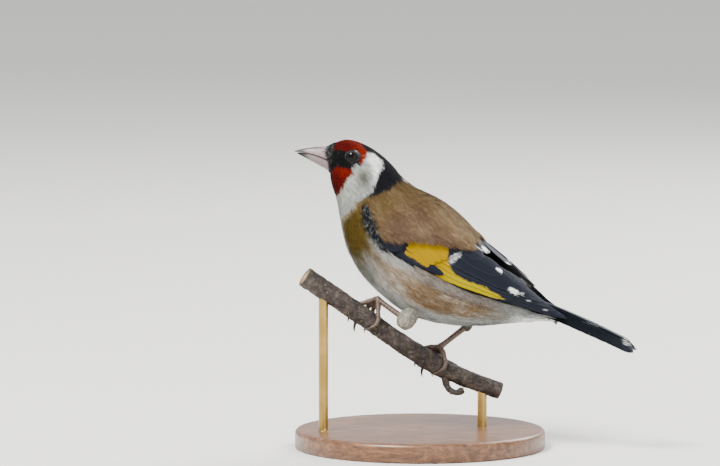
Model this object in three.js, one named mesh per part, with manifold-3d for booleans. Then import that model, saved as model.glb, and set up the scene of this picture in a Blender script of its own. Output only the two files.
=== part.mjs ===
// A life-size European goldfinch, perched on a cut length of hazel branch that two short rods hold
// above a round wooden base. Millimetres, +Z up, +X from head to tail, origin under the base.
// The bird's left side faces -Y. Its body is one smooth lofted form, parted by thin cuts into head,
// neck, torso and tail; the wings and the tail carry their quills as overlapping vanes in tiers.
import * as THREE from "three";
import { mergeVertices } from "three/addons/utils/BufferGeometryUtils.js";
import Module from "manifold-3d";

const wasm = await Module();
wasm.setup();

const DEG = Math.PI / 180;
const gap = 0.3; // clearance between touching pieces
const up = new THREE.Vector3(0, 0, 1);
const side = new THREE.Vector3(0, 1, 0);

// Colours and finishes, one for each kind of surface.
const finish = {
  plumage: { color: 0xa8876a, roughness: 0.9, metalness: 0 },
  face: { color: 0xb0281c, roughness: 0.9, metalness: 0 },
  neck: { color: 0xd9d2c6, roughness: 0.9, metalness: 0 },
  quill: { color: 0x1c1d22, roughness: 0.6, metalness: 0 },
  horn: { color: 0xe6d6cc, roughness: 0.4, metalness: 0 },
  eye: { color: 0x0b0908, roughness: 0.08, metalness: 0 },
  scute: { color: 0x7d6558, roughness: 0.6, metalness: 0 },
  bark: { color: 0x6d5a50, roughness: 0.85, metalness: 0 },
  brass: { color: 0xb08d4c, roughness: 0.35, metalness: 1 },
  wood: { color: 0x6b4a2f, roughness: 0.5, metalness: 0 },
};

const parts = new THREE.Group();

function addMesh(name, geometry, look, parent = parts) {
  const mesh = new THREE.Mesh(geometry, new THREE.MeshStandardMaterial(finish[look]));
  mesh.name = name;
  parent.add(mesh);
  return mesh;
}

// A ready-made shape with its seams joined, so that it is closed.
function seamless(geometry) {
  for (const name of Object.keys(geometry.attributes)) {
    if (name !== "position") geometry.deleteAttribute(name);
  }
  return mergeVertices(geometry, 1e-4);
}

// Solids: closed meshes that can be joined and cut.
function solidOf(geometry) {
  return new wasm.Manifold(
    new wasm.Mesh({
      numProp: 3,
      vertProperties: new Float32Array(geometry.attributes.position.array),
      triVerts: new Uint32Array(geometry.index.array),
    }),
  );
}

// The largest closed surface of a solid, as a geometry, without the slivers that cuts leave.
const sliver = 0.03;
const vaneSliver = 0.08;

function geometryOf(solid, tolerance = sliver) {
  const bodies = solid.simplify(tolerance).decompose().sort((a, b) => b.volume() - a.volume());
  const mesh = bodies[0].getMesh();
  const geometry = new THREE.BufferGeometry();
  geometry.setAttribute("position", new THREE.BufferAttribute(mesh.vertProperties, 3));
  geometry.setIndex(new THREE.BufferAttribute(mesh.triVerts, 1));
  geometry.computeVertexNormals();
  return geometry;
}

const fuse = (solids) => solids.reduce((all, solid) => all.add(solid));

// A closed surface through rings of points, with a flat fan over each end.
function lofted(rings) {
  const sides = rings[0].length;
  const middle = (ring) => ring.reduce((sum, p) => sum.add(p), new THREE.Vector3()).divideScalar(sides);
  const points = [...rings.flat(), middle(rings[0]), middle(rings[rings.length - 1])];
  const first = rings.length * sides;
  const faces = [];
  for (let i = 0; i < sides; i++) {
    const j = (i + 1) % sides;
    faces.push(first, j, i);
    const end = (rings.length - 1) * sides;
    faces.push(first + 1, end + i, end + j);
    for (let r = 0; r < rings.length - 1; r++) {
      const a = r * sides;
      const b = a + sides;
      faces.push(a + i, a + j, b + j, a + i, b + j, b + i);
    }
  }
  const geometry = new THREE.BufferGeometry().setFromPoints(points);
  geometry.setIndex(faces);
  const solid = solidOf(geometry);
  if (solid.volume() > 0) return solid;
  for (let i = 0; i < faces.length; i += 3) [faces[i + 1], faces[i + 2]] = [faces[i + 2], faces[i + 1]];
  geometry.setIndex(faces);
  return solidOf(geometry);
}

const mix = (a, b, t) => a + (b - a) * t;
const smooth = (low, high, x) => THREE.MathUtils.smoothstep(x, low, high);
const rounded = (c, power) => Math.sign(c) * Math.abs(c) ** power;

// Body form. Each station is a section across the body from the bill to the end of the tail coverts:
// where it meets the line of the back and of the belly, and half its width.
const stations = [
  { back: [-28.7, 96.8], belly: [-29.1, 88.0], half: 4.1 },
  { back: [-26.9, 97.8], belly: [-28.8, 85.3], half: 5.7 },
  { back: [-23.4, 98.7], belly: [-28.1, 82.5], half: 7.3 },
  { back: [-18.4, 97.5], belly: [-27.3, 79.9], half: 8.4 },
  { back: [-13.2, 94.4], belly: [-26.7, 77.2], half: 9.0 },
  { back: [-9.0, 90.6], belly: [-26.2, 74.2], half: 9.5 },
  { back: [-5.2, 86.2], belly: [-25.7, 70.9], half: 10.4 },
  { back: [-0.6, 83.1], belly: [-24.8, 66.5], half: 12.0 },
  { back: [5.5, 80.4], belly: [-22.8, 61.0], half: 14.0 },
  { back: [11.0, 76.6], belly: [-18.8, 55.2], half: 15.3 },
  { back: [16.5, 71.4], belly: [-12.3, 48.5], half: 15.8 },
  { back: [22.0, 66.3], belly: [-2.6, 42.2], half: 15.2 },
  { back: [28.0, 61.4], belly: [9.2, 39.4], half: 13.2 },
  { back: [34.0, 56.0], belly: [21.0, 39.2], half: 10.6 },
  { back: [39.5, 50.8], belly: [31.0, 40.3], half: 7.2 },
  { back: [45.0, 46.9], belly: [41.0, 40.4], half: 5.3 },
  { back: [50.5, 44.2], belly: [48.5, 38.6], half: 4.4 },
];
const lastStation = stations.length - 1;
const fullness = 0.92; // power of the cosine and sine: under 1 makes a section squarer than an ellipse
const headTurn = 12 * DEG; // the head looks a little to the bird's left
const neckPivot = -8.0;
const turnedWholly = 4;
const turnedNot = 8;

const backLine = new THREE.CatmullRomCurve3(
  stations.map((s) => new THREE.Vector3(s.back[0], s.half, s.back[1])), false, "catmullrom", 0.5);
const bellyLine = new THREE.CatmullRomCurve3(
  stations.map((s) => new THREE.Vector3(s.belly[0], 0, s.belly[1])), false, "catmullrom", 0.5);

function turnedHead(point, share = 1) {
  const a = headTurn * share;
  const x = point.x - neckPivot;
  return new THREE.Vector3(
    neckPivot + x * Math.cos(a) - point.y * Math.sin(a),
    x * Math.sin(a) + point.y * Math.cos(a),
    point.z,
  );
}

// A point of the body's outer form. The angle goes round a section: 0 on the back, 90 degrees at the
// right side, 180 on the belly. sink lowers the back, as the wings lie over the rump.
function bodyPoint(station, angle, outset = 0, sink = 0) {
  const t = THREE.MathUtils.clamp(station / lastStation, 0, 1);
  const back = backLine.getPoint(t);
  const belly = bellyLine.getPoint(t);
  const half = back.y + outset - sink;
  back.y = 0;
  const axis = back.clone().sub(belly);
  const length = axis.length();
  axis.normalize();
  back.addScaledVector(axis, outset - sink);
  belly.addScaledVector(axis, -outset);
  const middle = back.clone().add(belly).multiplyScalar(0.5);
  const reach = (length + 2 * outset - sink) / 2;
  const point = middle
    .addScaledVector(axis, reach * rounded(Math.cos(angle), fullness))
    .addScaledVector(side, half * rounded(Math.sin(angle), fullness));
  return turnedHead(point, 1 - smooth(turnedWholly, turnedNot, station));
}

function bodyNormal(station, angle) {
  const step = 0.02;
  const along = bodyPoint(station + step, angle).sub(bodyPoint(station - step, angle));
  const round = bodyPoint(station, angle + step).sub(bodyPoint(station, angle - step));
  const normal = along.cross(round).normalize();
  const outward = bodyPoint(station, angle).sub(
    bodyPoint(station, angle + Math.PI).lerp(bodyPoint(station, angle), 0.5));
  return normal.dot(outward) < 0 ? normal.negate() : normal;
}

function bodyLength(from, to, steps, sides, options = {}) {
  const { outset = () => 0, sink = () => 0 } = options;
  const rings = [];
  for (let i = 0; i <= steps; i++) {
    const station = mix(from, to, i / steps);
    const ring = [];
    for (let k = 0; k < sides; k++) {
      ring.push(bodyPoint(station, (2 * Math.PI * k) / sides, outset(station), sink(station)));
    }
    rings.push(ring);
  }
  return lofted(rings);
}

// The station and angle where a line across the bird, through x and z, leaves the unturned form.
function bodyAt(x, z) {
  const offset = (station) => {
    const back = backLine.getPoint(station / lastStation);
    const belly = bellyLine.getPoint(station / lastStation);
    return (back.x - belly.x) * (z - belly.z) - (back.z - belly.z) * (x - belly.x);
  };
  let low = 0;
  let high = lastStation;
  for (let i = 0; i < 40; i++) {
    const half = (low + high) / 2;
    if (offset(half) < 0) low = half;
    else high = half;
  }
  const back = backLine.getPoint(low / lastStation);
  const belly = bellyLine.getPoint(low / lastStation);
  const reach = Math.hypot(back.x - belly.x, back.z - belly.z) / 2;
  const height =
    ((x - (back.x + belly.x) / 2) * (back.x - belly.x) +
      (z - (back.z + belly.z) / 2) * (back.z - belly.z)) / (2 * reach);
  return { station: low, angle: Math.acos(rounded(height / reach, 1 / fullness)), half: back.y };
}

// Where the body is cut into its nodes, in stations.
const neckCut = 4.6;
const shoulderCut = 6.7;
const tailCut = 14.0;
const cutWidth = 0.09; // of a station, which leaves the clearance at the throat
const bodySides = 28;

// Under the folded wings the rump lies this much lower than the outline of the whole bird.
const rumpSink = 3.8;
const sinkOf = (station) => rumpSink * smooth(10.5, 13, station);

// Eyes.
const eyeRadius = 2.5;
const eyePlace = { x: -21.7, z: 93.3 };
const eyeStandsProud = 0.75;
const lidRadius = 1.95;
const lidThickness = 0.36;
const eyeForward = 8 * DEG; // each eye looks a little ahead

function eyeCentre(hand) {
  const at = bodyAt(eyePlace.x, eyePlace.z);
  const across = at.half * rounded(Math.sin(at.angle), fullness);
  return new THREE.Vector3(eyePlace.x, hand * (across + eyeStandsProud - eyeRadius), eyePlace.z);
}

const eyeAxis = (hand) =>
  new THREE.Vector3(-Math.sin(eyeForward), hand * Math.cos(eyeForward), 0.05).normalize();

function eyeball(hand, outset = 0) {
  const ball = seamless(new THREE.SphereGeometry(eyeRadius + outset, 16, 10));
  const centre = turnedHead(eyeCentre(hand));
  ball.translate(centre.x, centre.y, centre.z);
  return solidOf(ball);
}

// A ring of skin round the eye, a little oval and drawn out to a corner before and behind.
function lid(hand) {
  const ring = seamless(new THREE.TorusGeometry(lidRadius, lidThickness, 6, 20));
  ring.scale(1.08, 1, 1.3);
  const axis = eyeAxis(hand);
  ring.applyQuaternion(new THREE.Quaternion().setFromUnitVectors(up, axis));
  const reach = Math.sqrt(eyeRadius ** 2 - lidRadius ** 2);
  const centre = eyeCentre(hand).addScaledVector(axis, reach);
  ring.translate(centre.x, centre.y, centre.z);
  const place = ring.attributes.position;
  for (let i = 0; i < place.count; i++) {
    const p = turnedHead(new THREE.Vector3().fromBufferAttribute(place, i));
    place.setXYZ(i, p.x, p.y, p.z);
  }
  return solidOf(ring);
}

// Bill: two horny halves that meet along the line of the mouth. Heights are on the middle plane.
const bill = {
  base: -29.3,
  tip: -40.2,
  lowerTip: -39.3,
  culmen: { base: 96.3, middle: 96.0, tip: 94.9 },
  mouth: { base: 91.9, middle: 93.9, tip: 94.5 },
  gonys: { base: 88.5, middle: 91.3, tip: 94.0 },
  halfBase: 3.4,
  halfMiddle: 1.95,
  halfTip: 0.22,
  mouthGap: 0.3,
  steps: 8,
  arcs: 8,
};

const bend = (line, t) =>
  (1 - t) * (1 - 2 * t) * line.base + 4 * t * (1 - t) * line.middle + t * (2 * t - 1) * line.tip;

function mandible(edge, tip, hand) {
  const rings = [];
  const width = { base: bill.halfBase, middle: bill.halfMiddle, tip: bill.halfTip };
  for (let i = 0; i <= bill.steps; i++) {
    const t = i / bill.steps;
    const mouth = bend(bill.mouth, t) + (hand * bill.mouthGap) / 2;
    const height = Math.max(0.12, hand * (bend(edge, t) - mouth)) * hand;
    const half = Math.max(bill.halfTip, bend(width, t)) * (hand > 0 ? 1 : 0.92);
    const ring = [];
    for (let k = 0; k <= bill.arcs; k++) {
      const a = (Math.PI * k) / bill.arcs;
      ring.push(turnedHead(new THREE.Vector3(
        mix(bill.base, tip, t), half * Math.cos(a), mouth + height * rounded(Math.sin(a), 0.85))));
    }
    rings.push(ring);
  }
  return lofted(rings);
}

function nostril(hand) {
  const pit = seamless(new THREE.SphereGeometry(0.45, 8, 6));
  pit.scale(1.6, 1, 0.9);
  const p = turnedHead(new THREE.Vector3(bill.base - 1.5, hand * 2.45, 94.6));
  pit.translate(p.x, p.y, p.z);
  return solidOf(pit);
}

// Folded wings. A quill is placed by station and angle on the body's outer form, and by its height
// over the wing bed, the hollow that the wing lies in. The left wing is nearer the camera.
const bedDepth = (station) => mix(2.4, 1.7, smooth(9, 15, station));
const wingFront = 7.0;
const wingEnd = 16.0;
const vaneThickness = 0.5;

function wingPoint(station, angle, height, hand) {
  const clamped = Math.min(station, lastStation);
  const turn = hand * wingAngle(angle, station, hand) * DEG;
  const point = bodyPoint(clamped, turn);
  const normal = bodyNormal(Math.min(clamped, lastStation - 0.05), turn);
  point.addScaledVector(normal, height - bedDepth(station));
  if (station > lastStation) {
    // past the last section the wing runs straight on
    const before = bodyPoint(lastStation - 0.5, turn);
    const after = bodyPoint(lastStation, turn);
    point.addScaledVector(after.sub(before), (station - lastStation) / 0.5);
  }
  return { point, normal };
}

// One vane: rows from root to tip, with the same triangles on both faces. A broad one is bent to the
// body by a third point across each row.
function vane(frames, half, thick, hug) {
  const across = hug ? [-1, 0, 1] : [-1, 1];
  const top = [];
  const bottom = [];
  frames.forEach(({ point, normal, along }, i) => {
    const width = half(i / (frames.length - 1));
    const sideways = normal.clone().cross(along).normalize();
    for (const s of across) {
      const place = point.clone()
        .addScaledVector(sideways, s * width)
        .addScaledVector(normal, hug ? -((s * width) ** 2) / (2 * hug) : 0);
      top.push(place.clone().addScaledVector(normal, thick / 2));
      bottom.push(place.clone().addScaledVector(normal, -thick / 2));
    }
  });
  const rows = frames.length;
  const n = across.length;
  const under = rows * n;
  const faces = [];
  const quad = (a, b, c, d) => faces.push(a, b, c, a, c, d);
  for (let r = 0; r < rows - 1; r++) {
    for (let c = 0; c < n - 1; c++) {
      const a = r * n + c;
      quad(a, a + 1, a + n + 1, a + n);
      quad(under + a + 1, under + a, under + a + n, under + a + n + 1);
      if (c === 0) quad(under + a, a, a + n, under + a + n);
      if (c === n - 2) quad(a + 1, under + a + 1, under + a + n + 1, a + n + 1);
    }
  }
  for (let c = 0; c < n - 1; c++) {
    quad(c + 1, c, under + c, under + c + 1);
    const a = (rows - 1) * n + c;
    quad(a, a + 1, under + a + 1, under + a);
  }
  const geometry = new THREE.BufferGeometry().setFromPoints([...top, ...bottom]);
  geometry.setIndex(faces);
  const solid = solidOf(geometry);
  if (solid.volume() > 0) return solid;
  for (let i = 0; i < faces.length; i += 3) [faces[i + 1], faces[i + 2]] = [faces[i + 2], faces[i + 1]];
  geometry.setIndex(faces);
  return solidOf(geometry);
}

// A vane's half width from root to tip: even, then closing in a round tip.
const leaf = (half, tipShare = 0.28) => (t) => {
  const closing = THREE.MathUtils.clamp((t - (1 - tipShare)) / tipShare, 0, 1);
  const opening = THREE.MathUtils.clamp(t / 0.15, 0, 1);
  return half * (0.55 + 0.45 * opening) * Math.max(0.22, Math.sqrt(1 - closing ** 2));
};

function wingQuill(hand, quill) {
  const rows = quill.rows ?? 6;
  const places = [];
  for (let i = 0; i < rows; i++) {
    const t = 1 - (1 - i / (rows - 1)) ** 1.25; // closer rows towards the tip
    const station = mix(quill.root[0], quill.tip[0], t);
    const angle = mix(quill.root[1], quill.tip[1], t) + (quill.bow ?? 0) * Math.sin(Math.PI * t);
    places.push(wingPoint(station, angle, mix(quill.height[0], quill.height[1], t), hand));
  }
  const frames = places.map((place, i) => {
    const ahead = places[Math.min(i + 1, rows - 1)].point;
    const behind = places[Math.max(i - 1, 0)].point;
    return { ...place, along: ahead.clone().sub(behind).normalize() };
  });
  return vane(frames, leaf(quill.half, quill.tipShare), vaneThickness, quill.hug);
}

// A tier is a row of like quills; each value runs evenly from its first quill to its last.
function tier(hand, row) {
  const quills = [];
  for (let i = 0; i < row.count; i++) {
    const t = row.count > 1 ? i / (row.count - 1) : 0;
    const span = (name) => row[name].map(([a, b]) => mix(a, b, t));
    quills.push(wingQuill(hand, {
      ...row,
      root: span("root"),
      tip: span("tip"),
      height: span("height"),
      half: mix(...row.half, t),
    }));
  }
  return quills;
}

// Each pair of numbers is the value at the tier's first and last quill: for the primaries from the
// outermost, lowest one to the innermost. root and tip hold station and angle in degrees.
const tiers = {
  primaries: {
    count: 7, root: [[9.4, 9.4], [100, 84]], tip: [[15.6, 13.9], [84, 58]],
    height: [[0.45, 1.1], [0.4, 0.95]], half: [2.0, 2.7], bow: 1, rows: 5, tipShare: 0.2, hug: 12,
  },
  secondaries: {
    count: 5, root: [[9.4, 9.8], [84, 60]], tip: [[13.6, 13.2], [68, 44]],
    height: [[1.25, 1.6], [1.1, 1.45]], half: [2.9, 3.1], rows: 5, hug: 12,
  },
  tertials: {
    count: 3, root: [[9.8, 9.9], [60, 38]], tip: [[13.0, 11.5], [46, 34]],
    height: [[1.85, 2.2], [1.75, 2.1]], half: [3.3, 3.0], rows: 5, hug: 12,
  },
  primaryCoverts: {
    count: 3, root: [[8.2, 8.4], [105, 95]], tip: [[9.9, 10.7], [99, 89]],
    height: [[1.3, 1.7], [1.1, 1.4]], half: [2.1, 2.2], rows: 4,
  },
  greaterCoverts: {
    count: 5, root: [[8.5, 9.2], [92, 52]], tip: [[10.3, 10.7], [85, 48]],
    height: [[1.8, 2.1], [1.7, 2.05]], half: [2.5, 2.8], rows: 4,
  },
  lesserCoverts: {
    count: 2, root: [[7.5, 7.7], [101, 88]], tip: [[8.9, 9.2], [101, 89]],
    height: [[2.1, 2.3], [2.0, 2.2]], half: [3.0, 3.0], rows: 3,
  },
  scapulars: {
    count: 4, root: [[7.5, 8.4], [80, 42]], tip: [[9.6, 10.8], [78, 38]],
    height: [[2.45, 2.6], [2.35, 2.45]], half: [3.8, 3.8], rows: 4, hug: 16,
  },
};

// The outline of the wing on the body: lowest and highest angle at each station.
const lowLine = [[7, 98], [8.5, 106], [9.2, 106], [10, 97], [11, 91], [13, 86], [14.5, 92], [16, 92]];
function lowEdge(station) {
  const i = Math.max(1, lowLine.findIndex(([s]) => s >= station));
  const [a, b] = station > lowLine.at(-1)[0] ? lowLine.slice(-2) : [lowLine[i - 1], lowLine[i]];
  return mix(a[1], b[1], THREE.MathUtils.clamp((station - a[0]) / (b[0] - a[0]), 0, 1));
}
const highEdge = (station) => mix(32, 26, smooth(8, 12.5, station)) + 20 * smooth(13, 14.5, station);
const frontRound = (station) => smooth(wingFront - 0.35, wingFront + 1.0, station);

// The right wing lies across the rump, up to the upper edge of the left one.
const crossing = 36;
function wingAngle(angle, station, hand) {
  if (hand < 0) return angle;
  const share = THREE.MathUtils.clamp((90 - angle) / 60, 0, 1.2);
  return angle - crossing * smooth(9.6, 11.4, station) * (1 - smooth(13, 14.5, station)) * share;
}

// A sheet over the wing's outline, between two heights: the wing's own core, or the hollow cut for it.
function wingSheet(hand, options) {
  const { from, to, low, high, margin, steps, sides } = options;
  const middle = 72;
  const floor = [];
  const roof = [];
  for (let i = 0; i <= steps; i++) {
    const station = mix(from, to, i / steps);
    const open = 0.6 + 0.4 * frontRound(station);
    const most = mix(middle, lowEdge(station) + margin, open);
    const least = mix(middle, highEdge(station) - margin, open);
    for (let k = 0; k <= sides; k++) {
      const angle = mix(least, most, k / sides);
      const edge = k === 0 || k === sides ? options.edge ?? 1 : 1;
      const { point, normal } = wingPoint(station, angle, 0, hand);
      floor.push(point.clone().addScaledVector(normal, low(station)));
      roof.push(point.clone().addScaledVector(normal, mix(low(station), high(station), edge)));
    }
  }
  const row = sides + 1;
  const above = floor.length;
  const faces = [];
  const quad = (a, b, c, d) => faces.push(a, b, c, a, c, d);
  for (let i = 0; i < steps; i++) {
    for (let k = 0; k < sides; k++) {
      const a = i * row + k;
      quad(a + row, a + row + 1, a + 1, a);
      quad(above + a, above + a + 1, above + a + row + 1, above + a + row);
      if (k === 0) quad(above + a, above + a + row, a + row, a);
      if (k === sides - 1) quad(a + 1, a + row + 1, above + a + row + 1, above + a + 1);
    }
  }
  for (let k = 0; k < sides; k++) {
    quad(k, k + 1, above + k + 1, above + k);
    const a = steps * row + k;
    quad(above + a, above + a + 1, a + 1, a);
  }
  const geometry = new THREE.BufferGeometry().setFromPoints([...floor, ...roof]);
  geometry.setIndex(faces);
  const solid = solidOf(geometry);
  if (solid.volume() > 0) return solid;
  for (let i = 0; i < faces.length; i += 3) [faces[i + 1], faces[i + 2]] = [faces[i + 2], faces[i + 1]];
  geometry.setIndex(faces);
  return solidOf(geometry);
}

const wingCore = (hand) =>
  wingSheet(hand, {
    from: wingFront + 0.08, to: 12.4, margin: 4, steps: 8, sides: 6, edge: 0.5,
    low: () => 0.02, high: (s) => mix(2.35, 1.0, smooth(7.5, 12.4, s)),
  });

const wingHollow = (hand) =>
  wingSheet(hand, {
    from: wingFront, to: wingEnd, margin: 7, steps: 14, sides: 8,
    low: () => -gap - 0.2, high: () => 7,
  });

// What the wing may fill: the hollow less the clearance round it.
const wingRoom = (hand) =>
  wingSheet(hand, {
    from: wingFront + 0.07, to: wingEnd - 0.05, margin: 5, steps: 14, sides: 8,
    low: () => -0.1, high: () => 6,
  });

function wing(hand) {
  const quills = Object.values(tiers).flatMap((row) => tier(hand, row));
  return fuse([wingCore(hand), ...quills]).intersect(wingRoom(hand));
}

// Tail: twelve quills, the middle pair on top and the outer ones longer, closed like a low roof.
const tail = {
  root: new THREE.Vector3(39.4, 0, 47.8),
  knee: new THREE.Vector3(53.6, 0, 42.3),
  tip: new THREE.Vector3(70.2, 0, 34.2),
  pairs: 6,
  spreadRoot: 0.5,
  spreadTip: 3.5,
  notch: 0.07, // the middle pair is this share shorter than the longest
  layer: 0.25,
  droop: 1.9,
  half: 2.1,
  rows: 6,
};

function tailQuill(pair, hand) {
  const t0 = pair / (tail.pairs - 1);
  const path = new THREE.QuadraticBezierCurve3(tail.root, tail.knee, tail.tip);
  const reach = 1 - tail.notch * (1 - t0);
  const frames = [];
  const places = [];
  for (let i = 0; i < tail.rows; i++) {
    const t = (i / (tail.rows - 1)) * reach;
    const along = path.getTangent(t);
    const normal = new THREE.Vector3().crossVectors(along, side).normalize();
    if (normal.z < 0) normal.negate();
    const spread = mix(tail.spreadRoot, tail.spreadTip, t) * (0.12 + 0.88 * t0);
    const lean = normal.clone().addScaledVector(side, hand * mix(0.2, 0.4, t0)).normalize();
    places.push(path.getPoint(t)
      .addScaledVector(side, hand * spread)
      .addScaledVector(normal, -tail.layer * pair - tail.droop * (spread / 4) ** 2));
    frames.push({ normal: lean });
  }
  frames.forEach((frame, i) => {
    frame.point = places[i];
    frame.along = places[Math.min(i + 1, tail.rows - 1)].clone()
      .sub(places[Math.max(i - 1, 0)]).normalize();
  });
  const width = leaf(tail.half, 0.12);
  return vane(frames, (t) => width(t) * mix(0.6, 1, smooth(0.1, 0.6, t)), vaneThickness);
}

function tailSolid() {
  const coverts = bodyLength(tailCut + cutWidth, lastStation, 6, 20, {
    sink: (station) => mix(rumpSink, 1.2, smooth(14, 15.5, station)),
    outset: (station) => -1.9 * smooth(14.8, 16, station) ** 2,
  });
  const quills = [];
  for (let pair = 0; pair < tail.pairs; pair++) {
    for (const hand of [-1, 1]) quills.push(tailQuill(pair, hand));
  }
  return fuse([coverts, ...quills]);
}

// Branch: a gently bent length of hazel with a swelling and a short spur below it.
const branchPoints = [
  [-34.5, -14.2, 55.4],
  [-30.7, -12.5, 52.6],
  [-24.1, -9.6, 47.6],
  [-13.7, -5.0, 39.6],
  [-5.9, -1.6, 33.6],
  [5.8, 3.5, 25.7],
  [15.6, 7.8, 20.8],
  [23.8, 11.4, 17.4],
].map((p) => new THREE.Vector3(...p));
const branchCurve = new THREE.CatmullRomCurve3(branchPoints, false, "catmullrom", 0.5);
const branchThin = 2.7;
const branchThick = 3.25;
const nodeAt = 0.7;
const branchRadius = (t) =>
  mix(branchThick, branchThin, t) + 0.35 * Math.exp(-(((t - nodeAt) / 0.06) ** 2));

function branchFrame(t) {
  const along = branchCurve.getTangent(t);
  const normal = up.clone().addScaledVector(along, -up.dot(along)).normalize();
  return { centre: branchCurve.getPoint(t), along, normal, across: along.clone().cross(normal) };
}

function branchWhereX(x) {
  let low = 0;
  let high = 1;
  for (let i = 0; i < 40; i++) {
    const half = (low + high) / 2;
    if (branchCurve.getPoint(half).x < x) low = half;
    else high = half;
  }
  return low;
}

function branch(outset = 0) {
  const rings = [];
  const steps = 22;
  const sides = 14;
  for (let i = 0; i <= steps; i++) {
    const t = i / steps;
    const { centre, normal, across } = branchFrame(t);
    const ring = [];
    for (let k = 0; k < sides; k++) {
      const a = (2 * Math.PI * k) / sides;
      const radius = branchRadius(t) + outset;
      ring.push(centre.clone()
        .addScaledVector(normal, radius * Math.cos(a))
        .addScaledVector(across, radius * Math.sin(a)));
    }
    rings.push(ring);
  }
  return lofted(rings);
}

// A round bar along a curve, its radius given at each share of the length.
function bar(curve, radius, steps, sides) {
  const rings = [];
  const frames = curve.computeFrenetFrames(steps, false);
  for (let i = 0; i <= steps; i++) {
    const centre = curve.getPointAt(i / steps);
    const ring = [];
    for (let k = 0; k < sides; k++) {
      const a = (2 * Math.PI * k) / sides;
      ring.push(centre.clone()
        .addScaledVector(frames.normals[i], radius(i / steps) * Math.cos(a))
        .addScaledVector(frames.binormals[i], radius(i / steps) * Math.sin(a)));
    }
    rings.push(ring);
  }
  return lofted(rings);
}

const spurPoints = [
  [7.0, 3.6, 24.6],
  [7.6, 3.2, 21.2],
  [8.8, 2.9, 18.6],
  [11.2, 2.9, 17.5],
  [13.6, 3.2, 18.4],
].map((p) => new THREE.Vector3(...p));

function perch() {
  const spurCurve = new THREE.CatmullRomCurve3(spurPoints);
  const spur = bar(spurCurve, (t) => 1.15 - 0.35 * t + 0.35 * Math.exp(-(((t - 0.9) / 0.09) ** 2)), 10, 8);
  return fuse([branch(), spur]);
}

// Feet: the hind toe comes round the branch on the bird's left, and the three front toes go over its
// other side. Turns are degrees round the branch from its top, and shifts go down along it.
const toeRadius = 0.9;
const palmRadius = 1.2;
const feet = {
  left: { x: -16.8, height: 7.1 }, // of the toes' joint over the branch's axis
  right: { x: 3.2, height: 5.4 },
};
const toes = {
  hind: { shift: [0, 2.5, 2.7], end: 92, reach: 62, way: 1, claw: [62, 0.5, -1.8] },
  inner: { shift: [0, -2.3, -2.6], end: 110, reach: 45, way: -1, claw: [42, 1.0, 0.4] },
  middle: { shift: [0, -0.4, -0.6], end: 128, reach: 55, way: -1, claw: [44, 1.9, 0.8] },
  outer: { shift: [0, 1.7, 2.0], end: 105, reach: 55, way: -1, claw: [42, 1.0, 0.6] },
};

// A point beside the bark: a way round and a shift along it, at a height over the branch's axis.
function barkPoint(t0, shift, turn, height, way) {
  const { centre, normal, across } = branchFrame(t0 + shift / branchCurve.getLength());
  const a = way * turn * DEG;
  return centre
    .addScaledVector(normal, height * Math.cos(a))
    .addScaledVector(across, height * Math.sin(a));
}

const toeLift = (t0, shift) => branchRadius(t0 + shift / branchCurve.getLength()) + toeRadius + gap;

function toePoint(t0, toe, turn, jointHeight) {
  // the toe drops from the joint to the bark within its reach, and then follows the bark
  const down = THREE.MathUtils.clamp(turn / toe.reach, 0, 1);
  const round = THREE.MathUtils.clamp((turn - toe.reach) / (toe.end - toe.reach), 0, 1);
  const shift = turn < toe.reach
    ? mix(toe.shift[0], toe.shift[1], down)
    : mix(toe.shift[1], toe.shift[2], round);
  const height = mix(jointHeight, toeLift(t0, shift), Math.sin((down * Math.PI) / 2) ** 1.2);
  return barkPoint(t0, shift, turn, height, toe.way);
}

function toeSolids(t0, toe, jointHeight, grow) {
  const points = [];
  const steps = 9;
  for (let i = 0; i <= steps; i++) points.push(toePoint(t0, toe, (toe.end * i) / steps, jointHeight));
  const curve = new THREE.CatmullRomCurve3(points);
  const knuckles = 3;
  const toeBar = bar(curve, (t) => grow +
    mix(toeRadius, toeRadius * 0.75, t) * (1 + 0.1 * Math.cos(2 * Math.PI * knuckles * t)), 9, 6);
  // the claw goes on round the bark, stands off it and hooks in again
  const [turn, hook, lean] = toe.claw;
  const last = toe.shift[2];
  const lift = toeLift(t0, last);
  const claw = new THREE.QuadraticBezierCurve3(
    barkPoint(t0, last, toe.end - 8, lift, toe.way),
    barkPoint(t0, last + lean / 2, toe.end + turn / 2, lift + hook, toe.way),
    barkPoint(t0, last + lean, toe.end + turn, lift + hook - 0.45, toe.way),
  );
  return [toeBar, bar(claw, (t) => grow + mix(toeRadius * 0.62, 0.12, t ** 1.2), 5, 5)];
}

function footJoint(foot) {
  const t0 = branchWhereX(foot.x);
  return { t0, joint: barkPoint(t0, 0, 0, foot.height, 1) };
}

function footSolid(foot, grow = 0) {
  const { t0, joint } = footJoint(foot);
  const palm = seamless(new THREE.SphereGeometry(palmRadius + grow, 8, 6));
  palm.translate(joint.x, joint.y, joint.z);
  return fuse([solidOf(palm), ...Object.values(toes).flatMap((toe) =>
    toeSolids(t0, toe, foot.height, grow))]);
}

// Legs: the shank runs from the toes' joint back to the heel, which the thigh's feathers cover.
const heels = {
  left: new THREE.Vector3(-2.8, -8.6, 41.7),
  right: new THREE.Vector3(13.6, 8.4, 38.4),
};
const shankRadius = 0.9;

function shank(name) {
  const { joint } = footJoint(feet[name]);
  const heel = heels[name];
  const along = heel.clone().sub(joint).normalize();
  const start = joint.clone().addScaledVector(along, palmRadius / 2);
  const end = heel.clone().addScaledVector(along, -thighs[name].cuff - gap);
  const curve = new THREE.LineCurve3(start, end);
  return bar(curve, (t) => shankRadius * (1 + 0.16 * Math.exp(-((t / 0.2) ** 2)) + 0.16 * t ** 4), 7, 9)
    .subtract(footSolid(feet[name], gap));
}

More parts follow.
